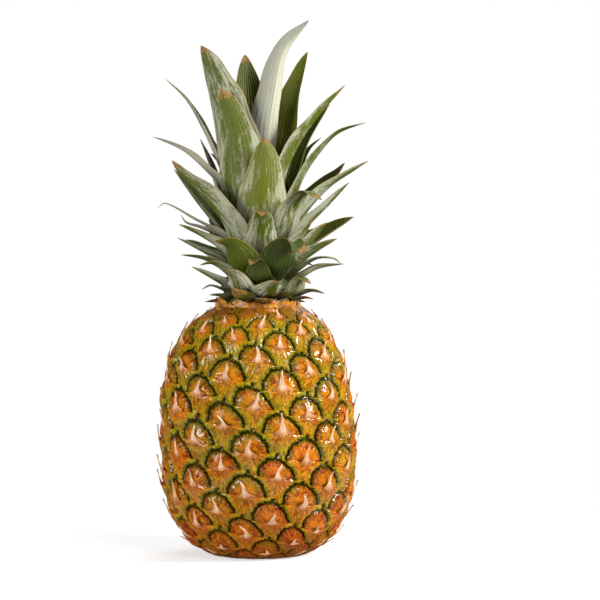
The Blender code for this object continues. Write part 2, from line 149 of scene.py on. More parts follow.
# The crown's leaves, as in the CAD model, in mm: finish, root angle and height, width, and the places
# that the middle line goes through to the tip
FRONT_LEAVES = (
    # the tall leaves of the middle
    ("silver", 15, 192, 17, ((3, -9, 245), (7, -8, 272), (14, -7, 299), (30, -6, 316))),
    ("fresh", 150, 194, 19, ((15.5, 8, 245), (19.5, 10, 270), (24.5, 12, 286), (29.5, 14, 299))),
    ("dark", 185, 194, 25, ((-5, 8, 245), (-6.5, 9, 278), (-8, 10, 297))),
    ("pale", -38, 186, 30, ((-13, -12, 222), (-19, -10, 258), (-27, -7, 284), (-34, -5, 301))),
    ("mixed", -18, 180, 27, ((-10, -17, 215), (-12.5, -18, 240), (-17, -17, 262), (-22, -16, 275))),
    ("bright", 2, 172, 28, ((2, -21, 195), (3, -24, 215), (4, -25, 232), (4, -25, 246))),
    # the left side, from the top down
    ("pale", -100, 186, 12, ((-22, 8, 228), (-33, 10, 253), (-43, 11, 270), (-55.5, 12, 282.5))),
    ("pale", -110, 182, 13, ((-23, 12, 213), (-30, 13, 234), (-35, 13, 247))),
    ("silver", -88, 184, 16, ((-18, -2, 213), (-31, 0, 228), (-45, 2, 240), (-62.5, 2, 247.5))),
    ("frosted", -55, 168, 20, ((-18, -22, 195), (-32, -20, 213), (-46, -16, 226), (-51, -14, 233))),
    ("dark", -112, 168, 14, ((-23, 4, 192), (-36, 2, 209), (-50, -6, 228))),
    ("silver", -85, 166, 13, ((-22, -4, 189), (-38, -4, 199), (-55, -4, 208), (-59.5, -4, 205.5))),
    ("pale", -95, 164, 11, ((-20, 0, 186), (-34, 0, 193.5), (-43, 0, 196.5), (-46, 0, 201))),
    ("mixed", -68, 161, 15, ((-20, -12, 179), (-32, -12, 188), (-47, -12, 195.5))),
    ("pale", -100, 160, 12, ((-22, 4, 174), (-34, 4, 180), (-48.5, 4, 187.5))),
    ("green", -78, 157, 12, ((-20, -5, 169), (-32, -5, 175), (-46, -5, 177.5))),
    ("mixed", -50, 156, 12, ((-17, -19, 166), (-27, -21, 172.5), (-34.5, -22, 171.5))),
    ("pale", -66, 153.5, 12, ((-19, -11, 159), (-28, -12, 164.5), (-39.5, -12, 170.5))),
    ("mixed", -75, 151, 11, ((-19, -7, 156), (-28, -8, 159.5), (-33.5, -8, 157))),
    ("green", -60, 150, 11, ((-18, -13, 152), (-24, -15, 153.7), (-29, -16, 154))),
    ("brown", -88, 149.5, 10, ((-20, -3, 149.7), (-32, -3, 149.5))),
    # the right side, from the top down
    ("mixed", 62, 184, 15, ((15, -10, 225), (23, -8, 243), (36, -5, 261), (51.5, -2, 278))),
    ("dark", 125, 186, 13, ((22, 12, 225), (29, 14, 245), (43, 16, 268))),
    ("dark", 140, 184, 9, ((22, 16, 222), (30, 18, 240), (38, 20, 248))),
    ("green", 80, 178, 13, ((25, -4, 221), (35, -4, 237), (47, -3, 249.5), (64, -2, 256))),
    ("pale", 72, 172, 16, ((28, -8, 203), (42, -7, 218), (57, -6, 228), (65, -6, 233))),
    ("pale", 66, 170, 14, ((28, -3, 194), (41, -3, 207), (54, -2, 220.5))),
    ("dark", 138, 164, 18, ((24, 7, 179), (41, 8, 190.5), (57, 8, 200))),
    ("mixed", 54, 160, 17, ((24, -16, 173), (36, -19, 181.5), (46, -19, 187))),
    ("green", 70, 157, 13, ((24, -10, 169), (34, -11, 175.5), (44, -12, 175.5), (49, -12, 172))),
    ("bright", 95, 155, 12, ((24, 2, 163), (35, 2, 169.5), (51, 2, 172))),
    ("mixed", 80, 151, 10, ((21, -4, 152.5), (31, -5, 156), (39.5, -5, 154.5))),
    ("brown", 65, 150, 9, ((20, -9, 150.3), (27, -11, 152), (32.5, -12, 151.5))),
    ("brown", 90, 149.5, 9, ((20, 0, 149.6), (28, 0, 149.3))),
    # the short leaves of the front
    ("frosted", 0, 166, 21, ((1, -27, 186), (2, -32, 197), (2, -36, 202), (2, -39.5, 200))),
    ("frosted", 30, 170, 18, ((15, -24, 192), (20, -28, 207), (28, -31, 214), (37, -33, 209.5))),
    ("mixed", 42, 164, 14, ((21, -22, 182), (28, -25, 193), (32, -27, 199))),
    ("mixed", 50, 162, 16, ((25, -18, 178), (34, -21, 190), (40, -22, 196.5))),
    # the deep leaves of the front get a dark green that paints in the shade they lie in
    ("deep", 22, 157, 25, ((10, -31.5, 170), (14, -36.5, 180.5), (20.5, -39, 184.5), (27, -40, 179))),
    ("green", -20, 158, 21, ((-9, -31, 171), (-15, -36, 182), (-25, -38, 186))),
    ("deep", -2, 153, 18, ((-0, -33, 164), (-1, -38, 173), (-3, -41.5, 175), (-5, -43.5, 172))),
    ("frosted", -30, 152, 18, ((-11, -30, 158), (-15, -35, 166), (-21, -37, 168.5))),
    ("frosted", 12, 150.5, 22, ((6, -31, 154.5), (9, -37, 160), (12, -39, 162))),
    ("mixed", 40, 151, 17, ((20, -26, 156), (25, -31, 164), (30.5, -33, 161))),
    ("brown", -20, 150, 16, ((-9, -30, 152), (-13, -35, 156), (-15, -37, 158.5))),
    ("brown", 6, 149.5, 17, ((4, -28, 150), (7, -34, 152))),
)
BACK_LIMIT = 62
BACK_TURN = 172.0
BACK_TURN_DRIFT = 9.0
BACK_REACH = (0.86, 1.0)
BACK_TALLEST = 238.0
BACK_SEED = 22

LEAF_THICKNESS = 2.6 * MM
LEAF_TIP_THICKNESS = 1.0 * MM
LEAF_CUP_ROOT = 0.26
LEAF_CUP_TIP = 0.18
LEAF_TAPER = 3.0
LEAF_TAPER_RISE = 0.14
LEAF_NARROW = 13.0
LEAF_TAPER_ROUND = 0.8
LEAF_LOWEST = FRUIT_TOP + 0.8 * MM
LEAF_REST_BLEND = 1.0 * MM
LEAF_ACROSS = 10
LEAF_ALONG = 30
LEAF_WAVE = 26.0 * MM
LEAF_WAVER = 0.035
LEAF_MARGIN_SHARE = 0.16

STEM_FOOT = FRUIT_TOP + 0.3 * MM
STEM_TOP = 212.0 * MM
STEM_FOOT_RADIUS = 22.5 * MM
STEM_TOP_RADIUS = 8.0 * MM
ROOT_DEPTH = 0.6

CROWN_SEED = 5
# How silvery a leaf's outer side is, how bright its green is and how much of its tip is brown
LEAF_FINISHES = {
    "silver": (0.90, 0.30, 0.05),
    "frosted": (0.50, 0.50, 0.13),
    "pale": (0.48, 0.45, 0.10),
    "mixed": (0.42, 0.50, 0.12),
    "green": (0.26, 0.45, 0.12),
    "bright": (0.48, 0.90, 0.10),
    # painted shade: the deep leaves lie low in shade, which their dark, unsilvered green paints in
    "deep": (0.06, 0.0, 0.12),
    "dark": (0.20, 0.35, 0.10),
    # partly painted light: the fresh leaf's bright green is lifted further to make up for the shade its
    # neighbours cast on it
    "fresh": (0.50, 1.0, 0.08),
    "brown": (0.35, 0.45, 0.35),
}


def alone(*made):
    """Only these objects are selected, and the first is the active one."""
    if bpy.context.object is not None and bpy.context.object.mode != "OBJECT":
        bpy.ops.object.mode_set(mode="OBJECT")
    bpy.ops.object.select_all(action="DESELECT")
    for piece in made:
        piece.select_set(True)
    if made:
        bpy.context.view_layer.objects.active = made[0]


def newest(name):
    """The primitive that was just added, with a name of its own."""
    made = bpy.context.object
    made.name = name
    made.data.name = name
    return made


def settle(piece):
    """Puts the piece's place, turn and scale into its mesh."""
    alone(piece)
    bpy.ops.object.transform_apply(location=True, rotation=True, scale=True)


def apply_all(piece):
    alone(piece)
    for modifier in list(piece.modifiers):
        bpy.ops.object.modifier_apply(modifier=modifier.name)


def join(name, pieces):
    alone(*pieces)
    if len(pieces) > 1:
        bpy.ops.object.join()
    made = bpy.context.object
    made.name = name
    made.data.name = name
    return made


def finish_piece(piece, crease_angle, slot, *nodes):
    """The piece is smooth but for its sharper edges, moves with the object and stands for these nodes."""
    alone(piece)
    bpy.ops.object.shade_smooth_by_angle(angle=math.radians(crease_angle))
    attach(piece, BODY)
    if nodes:
        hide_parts(*nodes)


def corner_places(piece):
    places = np.empty(len(piece.data.vertices) * 3)
    piece.data.vertices.foreach_get("co", places)
    return places.reshape(-1, 3)


def move_corners(piece, places):
    piece.data.vertices.foreach_set("co", np.asarray(places, dtype=float).ravel())
    piece.data.update()


# Shader maths

def math_node(operation, turned_round=False):
    """A Python operator on a shader's number, which adds a Math node."""

    def operate(self, other):
        values = (other, self) if turned_round else (self, other)
        return self.maker.math(operation, *values)

    return operate


class Number:
    """A shader's number, on which Python's operators add Math nodes."""

    def __init__(self, maker, socket):
        self.maker = maker
        self.socket = socket

    __add__ = __radd__ = math_node("ADD")
    __mul__ = __rmul__ = math_node("MULTIPLY")
    __sub__ = math_node("SUBTRACT")
    __rsub__ = math_node("SUBTRACT", turned_round=True)
    __truediv__ = math_node("DIVIDE")
    __rpow__ = math_node("POWER", turned_round=True)

    def __neg__(self):
        return self * -1.0


class Maker:
    """Builds one material's nodes."""

    def __init__(self, name):
        self.material = bpy.data.materials.new(name)
        self.material.use_nodes = True
        self.nodes = self.material.node_tree.nodes
        self.links = self.material.node_tree.links

    def feed(self, socket, value):
        if isinstance(value, Number):
            value = value.socket
        if isinstance(value, bpy.types.NodeSocket):
            self.links.new(value, socket)
        elif socket.type == "RGBA":
            socket.default_value = (*value, 1.0)
        else:
            socket.default_value = value

    def fill(self, node, inputs):
        for name, value in inputs.items():
            self.feed(node.inputs[name.replace("_", " ")], value)

    def node(self, kind, settings=None, **inputs):
        """A node of a kind, its settings set first and then its sockets, by name."""
        made = self.nodes.new(f"ShaderNode{kind}")
        for name, value in (settings or {}).items():
            setattr(made, name, value)
        self.fill(made, inputs)
        return made

    def number(self, kind, settings=None, **inputs):
        return Number(self, self.node(kind, settings, **inputs).outputs[0])

    def math(self, operation, *values):
        made = self.node("Math", {"operation": operation})
        for socket, value in zip(made.inputs, values):
            self.feed(socket, value)
        return Number(self, made.outputs[0])

    def vector(self, x, y, z):
        return self.node("CombineXYZ", X=x, Y=y, Z=z).outputs[0]

    def parts(self, vector):
        return [Number(self, output) for output in self.node("SeparateXYZ", Vector=vector).outputs]

    def map(self, name):
        return self.parts(self.node("UVMap", {"uv_map": name}).outputs[0])

    def attribute(self, name):
        return self.parts(self.node("Attribute", {"attribute_name": name}).outputs["Vector"])

    def place(self):
        return self.node("TexCoord").outputs["Object"]

    def noise(self, vector, scale, detail=2.0, roughness=0.5, distortion=0.0):
        shape = {"Detail": detail, "Roughness": roughness, "Distortion": distortion}
        return self.number("TexNoise", Vector=vector, Scale=scale, **shape)

    def draw(self, seed):
        """An even random number from 0 to 1 for each whole seed."""
        return self.number("TexWhiteNoise", {"noise_dimensions": "1D"}, W=seed)

    def tint(self, colour, hue, saturation, value):
        made = self.node("HueSaturation", Color=colour, Hue=hue, Saturation=saturation, Value=value)
        return made.outputs[0]

    def bump(self, height, distance, strength=1.0, normal=None):
        """Relief in metres, on top of another's."""
        made = self.node("Bump", Height=height, Distance=distance, Strength=strength)
        if normal is not None:
            self.feed(made.inputs["Normal"], normal)
        return made.outputs[0]

    def surface(self, **inputs):
        self.fill(self.nodes["Principled BSDF"], inputs)
        return self.material


def mix(share, first, second):
    """A colour between two colours, by a shader's number."""
    made = share.maker.node("Mix", {"data_type": "RGBA"})
    for index, value in ((0, share), (6, first), (7, second)):
        share.maker.feed(made.inputs[index], value)
    return made.outputs[2]


# Maths that works alike on numpy's numbers and on a shader's

def either(operation, plain):
    """A Math node for a shader's number, and the plain function for any other."""

    def operate(*values):
        if isinstance(values[0], Number):
            return values[0].maker.math(operation, *values)
        return plain(*values)

    return operate


absolute = either("ABSOLUTE", np.abs)
whole_below = either("FLOOR", np.floor)
root = either("SQRT", np.sqrt)
smaller = either("MINIMUM", np.minimum)
wave = either("SINE", np.sin)
bearing = either("ARCTAN2", np.arctan2)
# 1 where the value is over the edge, and 0 elsewhere
above = either("GREATER_THAN", lambda value, edge: np.where(value > edge, 1.0, 0.0))


def blend(start, end, value):
    """0 up to the start, 1 from the end on and an even S between them, whichever is larger."""
    if isinstance(value, Number):
        settings = {"interpolation_type": "SMOOTHSTEP"}
        return value.maker.number("MapRange", settings, Value=value, From_Min=start, From_Max=end)
    share = np.clip((value - start) / (end - start), 0.0, 1.0)
    return share * share * (3.0 - 2.0 * share)


# The eyes

def arch_share(across, up, number):
    """0 in the middle of an eye and 1 at its scalloped arch, larger on some eyes than on others."""
    wide = across / ARCH_HALF
    high = up / ARCH_HEIGHT
    turn = bearing(up, across)
    reach = wave(number * 2.4) * ARCH_VARIETY + 1.0
    for count, shift, depth in ARCH_SCALLOPS:
        reach = reach + wave(turn * count + number * shift) * depth
    return root(wide * wide + high * high) / reach


def scale_reach(across, up, number):
    """Under 1 within an eye's scale: an arch over its wings, and a tongue that narrows below them."""
    arch = arch_share(across, up, number)
    depth = smaller(up, 0.0) / TONGUE_LENGTH
    narrowing = math.e ** (depth * depth * -1.0)
    tongue = absolute(across) / (narrowing * (WING_REACH - TONGUE_HALF) + TONGUE_HALF)
    over = above(up - wing_height(across, number), 0.0)
    return tongue + over * (arch - tongue)


def wing_height(across, number):
    """The line of an eye's wings, turned up at both ends and tilted a little."""
    slope = wave(number * 1.7) * WING_TILT + WING_SLOPE
    return across * (across * (WING_UPTURN / WING_REACH**2) + slope)


def own_eye(right, left):
    """The eye that a place of the skin shows, in mm across and up from the eye's middle.

    Each eye's scale lies over those above it. Also gives the eye's number, the distance to the edge
    of the scales below, and the distance to the scale's own edge, both in mm.
    """
    right_eye = whole_below(right)
    left_eye = whole_below(left)
    right_part = right - right_eye
    left_part = left - left_eye
    across = right_part * RIGHT_STEP[0] + left_part * LEFT_STEP[0]
    up = right_part * RIGHT_STEP[1] + left_part * LEFT_STEP[1]
    first = right_eye * RIGHT_SPIRALS + left_eye * LEFT_SPIRALS
    low = scale_reach(across, up, first)
    by_right = scale_reach(across - RIGHT_STEP[0], up - RIGHT_STEP[1], first + RIGHT_SPIRALS)
    by_left = scale_reach(across - LEFT_STEP[0], up - LEFT_STEP[1], first + LEFT_SPIRALS)
    not_low = above(low, 1.0)
    not_right = not_low * above(by_right, 1.0)
    top = not_right * above(by_left, 1.0)
    is_right = not_low - not_right
    is_left = not_right - top
    right_add = is_right + top
    left_add = is_left + top
    own_across = across - right_add * RIGHT_STEP[0] - left_add * LEFT_STEP[0]
    own_up = up - right_add * RIGHT_STEP[1] - left_add * LEFT_STEP[1]
    number = first + right_add * RIGHT_SPIRALS + left_add * LEFT_SPIRALS
    below = smaller(
        low + (1.0 - not_low) * FAR,
        smaller(by_right + (1.0 - not_right) * FAR, by_left + (1.0 - top) * FAR),
    )
    inside = 1.0 - scale_reach(own_across, own_up, number) + top * FAR
    return own_across, own_up, number, (below - 1.0) * ARCH_HALF, inside * ARCH_HALF


# The smooth barrel under the eyes

def outline_radius(height):
    fruit = bpy.context.scene.pineapple_fruit
    reach = np.where(height < BELLY_HEIGHT, BELLY_DOWN, BELLY_UP)
    share = np.abs((height - BELLY_HEIGHT) / reach)
    left = np.clip(1.0 - share**BARREL_POWER, 0.0, 1.0)
    barrel = fruit.belly_radius * left ** (1.0 / BARREL_POWER)
    neck = fruit.neck_radius * blend(0.0, BELLY_HEIGHT, height)
    return (barrel**NECK_JOIN_POWER + neck**NECK_JOIN_POWER) ** (1.0 / NECK_JOIN_POWER)


def lean(height):
    return LEAN * blend(*LEAN_FROM, height) * blend(*LEAN_TO, height)


def outline_table():
    """Heights up the outline, and the spirals' climb to each: rings of smaller eyes at both ends."""
    belly_radius = bpy.context.scene.pineapple_fruit.belly_radius
    heights = np.linspace(OUTLINE_LOW, OUTLINE_HIGH, OUTLINE_STEPS)
    radii = outline_radius(heights)
    middles = (radii[1:] + radii[:-1]) / 2.0
    lengths = np.hypot(np.diff(heights), np.diff(radii))
    eye_sizes = belly_radius * (middles / belly_radius) ** EYE_SHRINK
    climb = np.concatenate([[0.0], np.cumsum(lengths / eye_sizes)])
    return heights, climb - np.interp(0.0, heights, climb)


def outline_frame(height):
    """The radius and the outward normal's two parts, out and up, at a height."""
    reach = 0.2 * MM
    lower = outline_radius(height - reach)
    upper = outline_radius(height + reach)
    out = np.full_like(height, 2.0 * reach)
    up = lower - upper
    length = np.hypot(out, up)
    return outline_radius(height), out / length, up / length


def skin_place(right, left, heights, climb):
    """The angle in radians and the height of a place that is counted in eyes along the spirals."""
    order = RIGHT_SPIRALS * right + LEFT_SPIRALS * left
    height = np.interp(EYE_LEVEL + EYE_RISE * order, climb, heights)
    right_turn = RIGHT_SPIRALS * EYE_DIVERGENCE - RIGHT_TURNS * 360.0
    left_turn = LEFT_SPIRALS * EYE_DIVERGENCE - LEFT_TURNS * 360.0
    return np.radians(EYE_START + right_turn * right + left_turn * left), height


def skin_point(angle, height, lift):
    radius, out, up = outline_frame(height)
    reach = radius + lift * out
    side = reach * np.sin(angle) + lean(height)
    return np.stack([side, -reach * np.cos(angle), height + lift * up], axis=-1)


def eye_waver(right, left):
    """Small wavers of the spirals, so that no two eyes are quite alike."""
    turn = 2.0 * math.pi
    along = (RIGHT_SPIRALS * right + LEFT_SPIRALS * left) / LEFT_SPIRALS
    round_share = right / LEFT_SPIRALS
    first = EYE_WAVER * np.sin(turn * 3.0 * round_share + 2.1 * along)
    second = EYE_WAVER * np.sin(turn * 2.0 * round_share - 1.7 * along + 1.0)
    return first, second


def skin_relief(right, left, height):
    """How far the skin stands out of the barrel, in metres."""
    across, up, number, below, inside = own_eye(right, left)
    climb = up - wing_height(across, number)
    over = blend(-0.9, 0.9, climb + 0.5 * np.sin(across * 0.9 + number))
    share = np.clip(arch_share(across, up, number), 0.0, 1.0)
    turn = bearing(up, across)
    dome = 0.9 + 2.3 * (1.0 - share**2.2)
    dome = dome + 0.38 * np.sin(turn * 19.0 + number) * share**1.5
    dome = dome - 1.3 * blend(3.4, 0.2, climb) * blend(12.0, 3.0, np.abs(across))
    reach = np.clip(np.abs(across) / WING_REACH, 0.0, 1.0)
    bract = 3.5 - 1.9 * reach**1.1 - 2.0 * blend(0.0, -13.0, up)
    fan = np.sin(across * 2.1 / (1.0 + 0.10 * np.abs(up)) + number * 2.0 + 0.5 * np.sin(up + number))
    bract = bract + 0.34 * fan * blend(-0.5, -4.0, up) * blend(1.0, 0.5, reach)
    lift = bract + over * (dome - bract)
    groove = blend(-0.4, 2.2, below) * blend(-0.3, 1.7, inside)
    lift = -0.7 + (lift + 0.7) * groove
    belly_radius = bpy.context.scene.pineapple_fruit.belly_radius
    size = outline_radius(height) / belly_radius
    ends = blend(*RELIEF_ENDS, height) * blend(*RELIEF_ENDS, FRUIT_TOP - height)
    return (lift - 0.9) * MM * size * ends


def colour_setting(name, description, *colour):
    return FloatVectorProperty(
        name=name, description=description, default=colour, subtype="COLOR", size=3
    )


class FruitSettings(bpy.types.PropertyGroup):
    belly_radius: FloatProperty(
        name="Belly radius",
        description="Radius of the smooth barrel at its widest",
        default=56.4 * MM,
        unit="LENGTH",
    )
    neck_radius: FloatProperty(
        name="Neck radius",
        description="Radius of the short neck under the crown",
        default=25.0 * MM,
        unit="LENGTH",
    )
    cells: IntProperty(
        name="Cells to an eye",
        description="How finely each eye is modelled",
        default=24,
        min=4,
    )
    dome: colour_setting("Dome", "The orange of an eye's upper half", 0.72, 0.21, 0.008)
    bract: colour_setting("Bract", "The yellow of the bract over an eye's lower half", 0.68, 0.34, 0.010)
    green: colour_setting("Green", "The green along the grooves", 0.088, 0.102, 0.009)
    groove: colour_setting("Groove", "The dark green in the grooves", 0.038, 0.042, 0.006)
    rust: colour_setting("Rust", "The red-brown smudges", 0.19, 0.030, 0.012)
    paper: colour_setting("Paper", "The dry bract tips", 0.82, 0.62, 0.42)


def skin_material():
    fruit = bpy.context.scene.pineapple_fruit
    make = Maker("waxy_pineapple_skin")
    right, left = make.map(EYES_MAP)[:2]
    place = make.place()
    height = make.parts(place)[2]
    across, up, number, below, inside = own_eye(right, left)
    distance = root(across * across + up * up) + 0.01
    seed = make.draw(number)
    seed_two = make.draw(number + 511.0)
    climb = up - wing_height(across, number)
    over = blend(-0.25, 0.25, climb)
    out = across / distance
    along = up / distance

    # Wrinkles that fan out from the middle of the eye, wavering patches and fine grain
    fan = make.vector(out * 6.0, along * 6.0, number * 1.7 + distance * 0.16)
    wrinkle = make.noise(fan, 1.0, 3.0, 0.62, 0.4)
    fine_fan = make.vector(out * 13.0, along * 13.0, number * 2.3 + distance * 0.34)
    fine = make.noise(fine_fan, 1.0, 2.0, 0.6)
    patch = make.noise(place, 230.0, 4.0, 0.68)
    broad = make.noise(place, 70.0, 2.0, 0.5)
    grain = make.noise(place, 1100.0, 2.0, 0.6)
    crinkle = (make.noise(place, 520.0, 2.0, 0.65) - 0.5) * 2.0
    fresh = blend(70.0 * MM, 140.0 * MM, height)
    ripe = blend(75.0 * MM, 4.0 * MM, height)
    share = arch_share(across, up, number)
    side = absolute(across)

    # Upper half: amber and wrinkled, browner and darker towards the rim (partly its own brown, partly
    # painted shade of the rounded dome), with dark red spots low at both sides and a painted shadow just
    # above the bract's lip
    dome = mix(blend(0.34, 0.66, wrinkle + (broad - 0.5) * 0.5), fruit.dome, (0.66, 0.27, 0.008))
    dark_folds = blend(0.52, 0.66, fine) * blend(0.3, 0.85, share)
    dome = mix(dark_folds * 0.9, dome, (0.22, 0.05, 0.004))
    # Partly painted shade: the dome's rim is darkened so that the dome looks rounded
    rim_brown_and_shade = blend(0.60, 0.96, share + (fine - 0.5) * 0.35)
    dome = mix(rim_brown_and_shade * 0.78, dome, (0.17, 0.075, 0.005))
    olive = blend(0.42, 0.60, broad + fresh * 0.14 - ripe * 0.04) * blend(0.35, 0.9, share)
    dome = mix(olive * 0.75, dome, (0.23, 0.19, 0.008))
    spots = blend(0.56, 0.64, patch + blend(0.35, 0.8, share) * 0.05 + ripe * 0.02)
    dome = mix(spots * 0.85, dome, fruit.rust)
    # Painted shadow: darker red-brown on the dome just above the bract's lip, close to the tip
    shade = blend(2.2, 0.1, climb + crinkle * 0.4) * blend(10.0, 3.0, side)
    dome = mix(shade * 0.7, dome, (0.17, 0.035, 0.006))

    # Lower half: a thin pale line, then yellow that turns green towards the margins, with smudges
    depth = -climb
    lip = blend(0.9, 0.15, absolute(depth - 0.35) + (patch - 0.5) * 1.6)
    lip = lip * blend(17.0, 10.0, side + crinkle * 2.0)
    greening = blend(1.5, 9.0, depth + crinkle) * 0.6 + blend(6.0, 13.0, side + crinkle * 1.5)
    greening = greening + fresh * 0.35 - ripe * 0.1 + (wrinkle - 0.5) * 1.5 + (broad - 0.5) * 1.6
    bract = mix(blend(0.0, 0.5, greening), (0.66, 0.23, 0.008), fruit.bract)
    bract = mix(blend(0.35, 1.0, greening), bract, (0.40, 0.32, 0.010))
    folds = blend(0.52, 0.66, fine) * blend(0.8, 3.0, depth)
    bract = mix(folds * 0.85, bract, (0.17, 0.045, 0.006))
    smudge = blend(0.49, 0.60, patch + (wrinkle - 0.5) * 0.5 + (seed - 0.5) * 0.12)
    smudge = smudge * blend(13.0, 5.0, side)
    bract = mix(smudge * 0.62, bract, fruit.rust)
    streaks = blend(0.54, 0.64, wrinkle) * blend(9.5, 3.0, distance + crinkle)
    bract = mix(streaks * 0.85, bract, (0.74, 0.42, 0.20))
    veins = blend(0.54, 0.62, fine) * blend(12.0, 4.0, distance + crinkle * 2.0)
    bract = mix(veins * 0.85, bract, (0.16, 0.030, 0.008))
    bract = mix(lip * 0.7, bract, (0.66, 0.26, 0.09))

    skin = mix(over, bract, dome)
    # Green bands above the arches of the eyes below, and the dark line in the groove, partly its own dark
    # green and partly painted shade
    near = below + crinkle * 1.8 + (patch - 0.5) * 3.0 + (broad - 0.5) * 2.5
    skin = mix(blend(3.8 + fresh, 0.8, near) * 0.85, skin, (0.25, 0.215, 0.009))
    skin = mix(blend(1.8, 0.1, near) * 0.9, skin, fruit.green)
    edge = smaller(below, inside)
    rim_line = blend(1.7, 0.2, inside + crinkle * 0.8) * blend(0.35, 0.6, broad + fine * 0.3)
    skin = mix(rim_line * 0.7, skin, fruit.green)
    # Partly painted shade: the dark line darkens the bottom of the groove between the eyes
    line = blend(0.75, 0.15, edge + crinkle * 0.4) * (0.6 + blend(0.4, 0.6, broad) * 0.4)
    skin = mix(line, skin, fruit.groove)
    # Redder near the base and browner on the neck, and each eye its own shade
    skin = mix(ripe * 0.22 * blend(0.5, 3.0, below), skin, (0.34, 0.06, 0.004))
    skin = mix(blend(22.0 * MM, 2.0 * MM, height) * 0.5, skin, (0.34, 0.085, 0.003))
    neck = blend(138.0 * MM, 143.0 * MM, height)
    skin = mix(neck * 0.75, skin, (0.28, 0.11, 0.010))
    under = blend(1.2 * MM, 0.2 * MM, height)
    skin = mix(under, skin, mix(patch, (0.10, 0.045, 0.014), (0.30, 0.16, 0.05)))
    mottle = (patch - 0.5) * 0.8 + crinkle * 0.2
    skin = make.tint(skin, 0.495 + (seed - 0.5) * 0.022, 1.12, 0.92 + seed_two * 0.22 + mottle)

    ridge = lip * (1.0 - over) * 0.5
    radial = fine * (0.9 + blend(0.4, 0.9, share) * 0.9)
    relief = make.bump((wrinkle + radial) * blend(0.0, 1.2, edge) + ridge, 1.9 * MM)
    relief = make.bump(patch, 1.2 * MM, 0.8, relief)
    relief = make.bump(grain, 0.22 * MM, 0.8, relief)
    return make.surface(
        Base_Color=skin,
        Roughness=0.24 + patch * 0.3 + blend(35.0 * MM, 5.0 * MM, height) * 0.3,
        Normal=relief,
        Specular_IOR_Level=0.13,
        Coat_Weight=blend(0.36, 0.58, broad) * blend(10.0 * MM, 45.0 * MM, height) * 0.5,
        Coat_Roughness=0.07,
    )


def skin_grid(cells):
    """The skin as one sheet whose lines follow the spirals, cut off short of both ends' poles."""
    heights, climb = outline_table()
    round_cells = LEFT_SPIRALS * cells
    lowest = (climb[0] - EYE_LEVEL) / EYE_RISE
    highest = (climb[-1] - EYE_LEVEL) / EYE_RISE
    first = math.floor(cells * (lowest / LEFT_SPIRALS - RIGHT_SPIRALS))
    last = math.ceil(cells * highest / LEFT_SPIRALS)
    alone()
    bpy.ops.mesh.primitive_grid_add(
        x_subdivisions=round_cells, y_subdivisions=last - first, size=1.0, calc_uvs=True
    )
    skin = newest("fruit_skin")
    mesh = skin.data
    flat = corner_places(skin)
    right = np.round((flat[:, 0] + 0.5) * round_cells) / cells
    left = (first + np.round((flat[:, 1] + 0.5) * (last - first))) / cells
    order = RIGHT_SPIRALS * right + LEFT_SPIRALS * left
    angle, height = skin_place(right, left, heights, climb)
    sway_right, sway_left = eye_waver(right, left)
    right = right + sway_right
    left = left + sway_left
    move_corners(skin, skin_point(angle, height, skin_relief(right, left, height)))

    corners = np.empty(len(mesh.loops), dtype=np.int32)
    mesh.loops.foreach_get("vertex_index", corners)
    eyes = np.stack([right[corners], left[corners]], axis=-1)
    mesh.uv_layers[0].name = EYES_MAP
    mesh.uv_layers[0].data.foreach_set("uv", eyes.ravel())

    alone(skin)
    bpy.ops.object.mode_set(mode="EDIT")
    bpy.ops.mesh.select_mode(type="VERT")
    bpy.ops.mesh.select_all(action="DESELECT")
    bpy.ops.object.mode_set(mode="OBJECT")
    mesh.vertices.foreach_set("select", ~((order > lowest) & (order < highest)))
    bpy.ops.object.mode_set(mode="EDIT")
    bpy.ops.mesh.delete(type="VERT")
    bpy.ops.mesh.select_all(action="SELECT")
    bpy.ops.mesh.remove_doubles(threshold=0.01 * MM)
    return skin


def close_skin(skin):
    """Cuts the sheet level at the top and the base, and closes it round the stalk's hollow."""
    for level, outward in ((FRUIT_TOP, 1.0), (0.0, -1.0)):
        bpy.ops.mesh.select_all(action="SELECT")
        bpy.ops.mesh.bisect(
            plane_co=(0.0, 0.0, level),
            plane_no=(0.0, 0.0, outward),
            use_fill=level > 0.0,
            clear_outer=True,
            threshold=0.001 * MM,
        )
    for depth in (0.0, STALK_DEPTH):
        bpy.ops.mesh.extrude_edges_move()
        bpy.ops.object.mode_set(mode="OBJECT")
        chosen = np.empty(len(skin.data.vertices), dtype=bool)
        skin.data.vertices.foreach_get("select", chosen)
        places = corner_places(skin)
        turns = np.arctan2(places[chosen, 1], places[chosen, 0])
        places[chosen, 0] = (STALK_RADIUS + STALK_GAP) * np.cos(turns)
        places[chosen, 1] = (STALK_RADIUS + STALK_GAP) * np.sin(turns)
        places[chosen, 2] = depth
        move_corners(skin, places)
        bpy.ops.object.mode_set(mode="EDIT")
    bpy.ops.mesh.edge_face_add()
    bpy.ops.mesh.select_all(action="SELECT")
    bpy.ops.mesh.normals_make_consistent(inside=False)
    bpy.ops.object.mode_set(mode="OBJECT")


class PINEAPPLE_OT_skin(bpy.types.Operator):
    """The fruit's skin, a grid whose lines follow the spirals of eyes"""

    bl_idname = "pineapple.skin"
    bl_label = "Skin"

    def execute(self, context):
        skin = skin_grid(context.scene.pineapple_fruit.cells)
        close_skin(skin)
        skin.data.materials.append(skin_material())
        finish_piece(skin, 50.0, "pineapple_skin", "fruit")
        return {"FINISHED"}


# The dry tips of the bracts, and the small bracts of the neck

def eye_of_order(order):
    """The place, in eyes along the two sets of spirals, of the eye with this number from the middle."""
    left = (order * pow(LEFT_SPIRALS, -1, RIGHT_SPIRALS)) % RIGHT_SPIRALS
    return (order - LEFT_SPIRALS * left) // RIGHT_SPIRALS, left


def plain_place(right, left):
    """The place in plain counts that the waver moves to a whole eye."""
    plain_right = np.array([float(right)])
    plain_left = np.array([float(left)])
    for step in range(6):
        sway_right, sway_left = eye_waver(plain_right, plain_left)
        plain_right = right - sway_right
        plain_left = left - sway_left
    return plain_right, plain_left


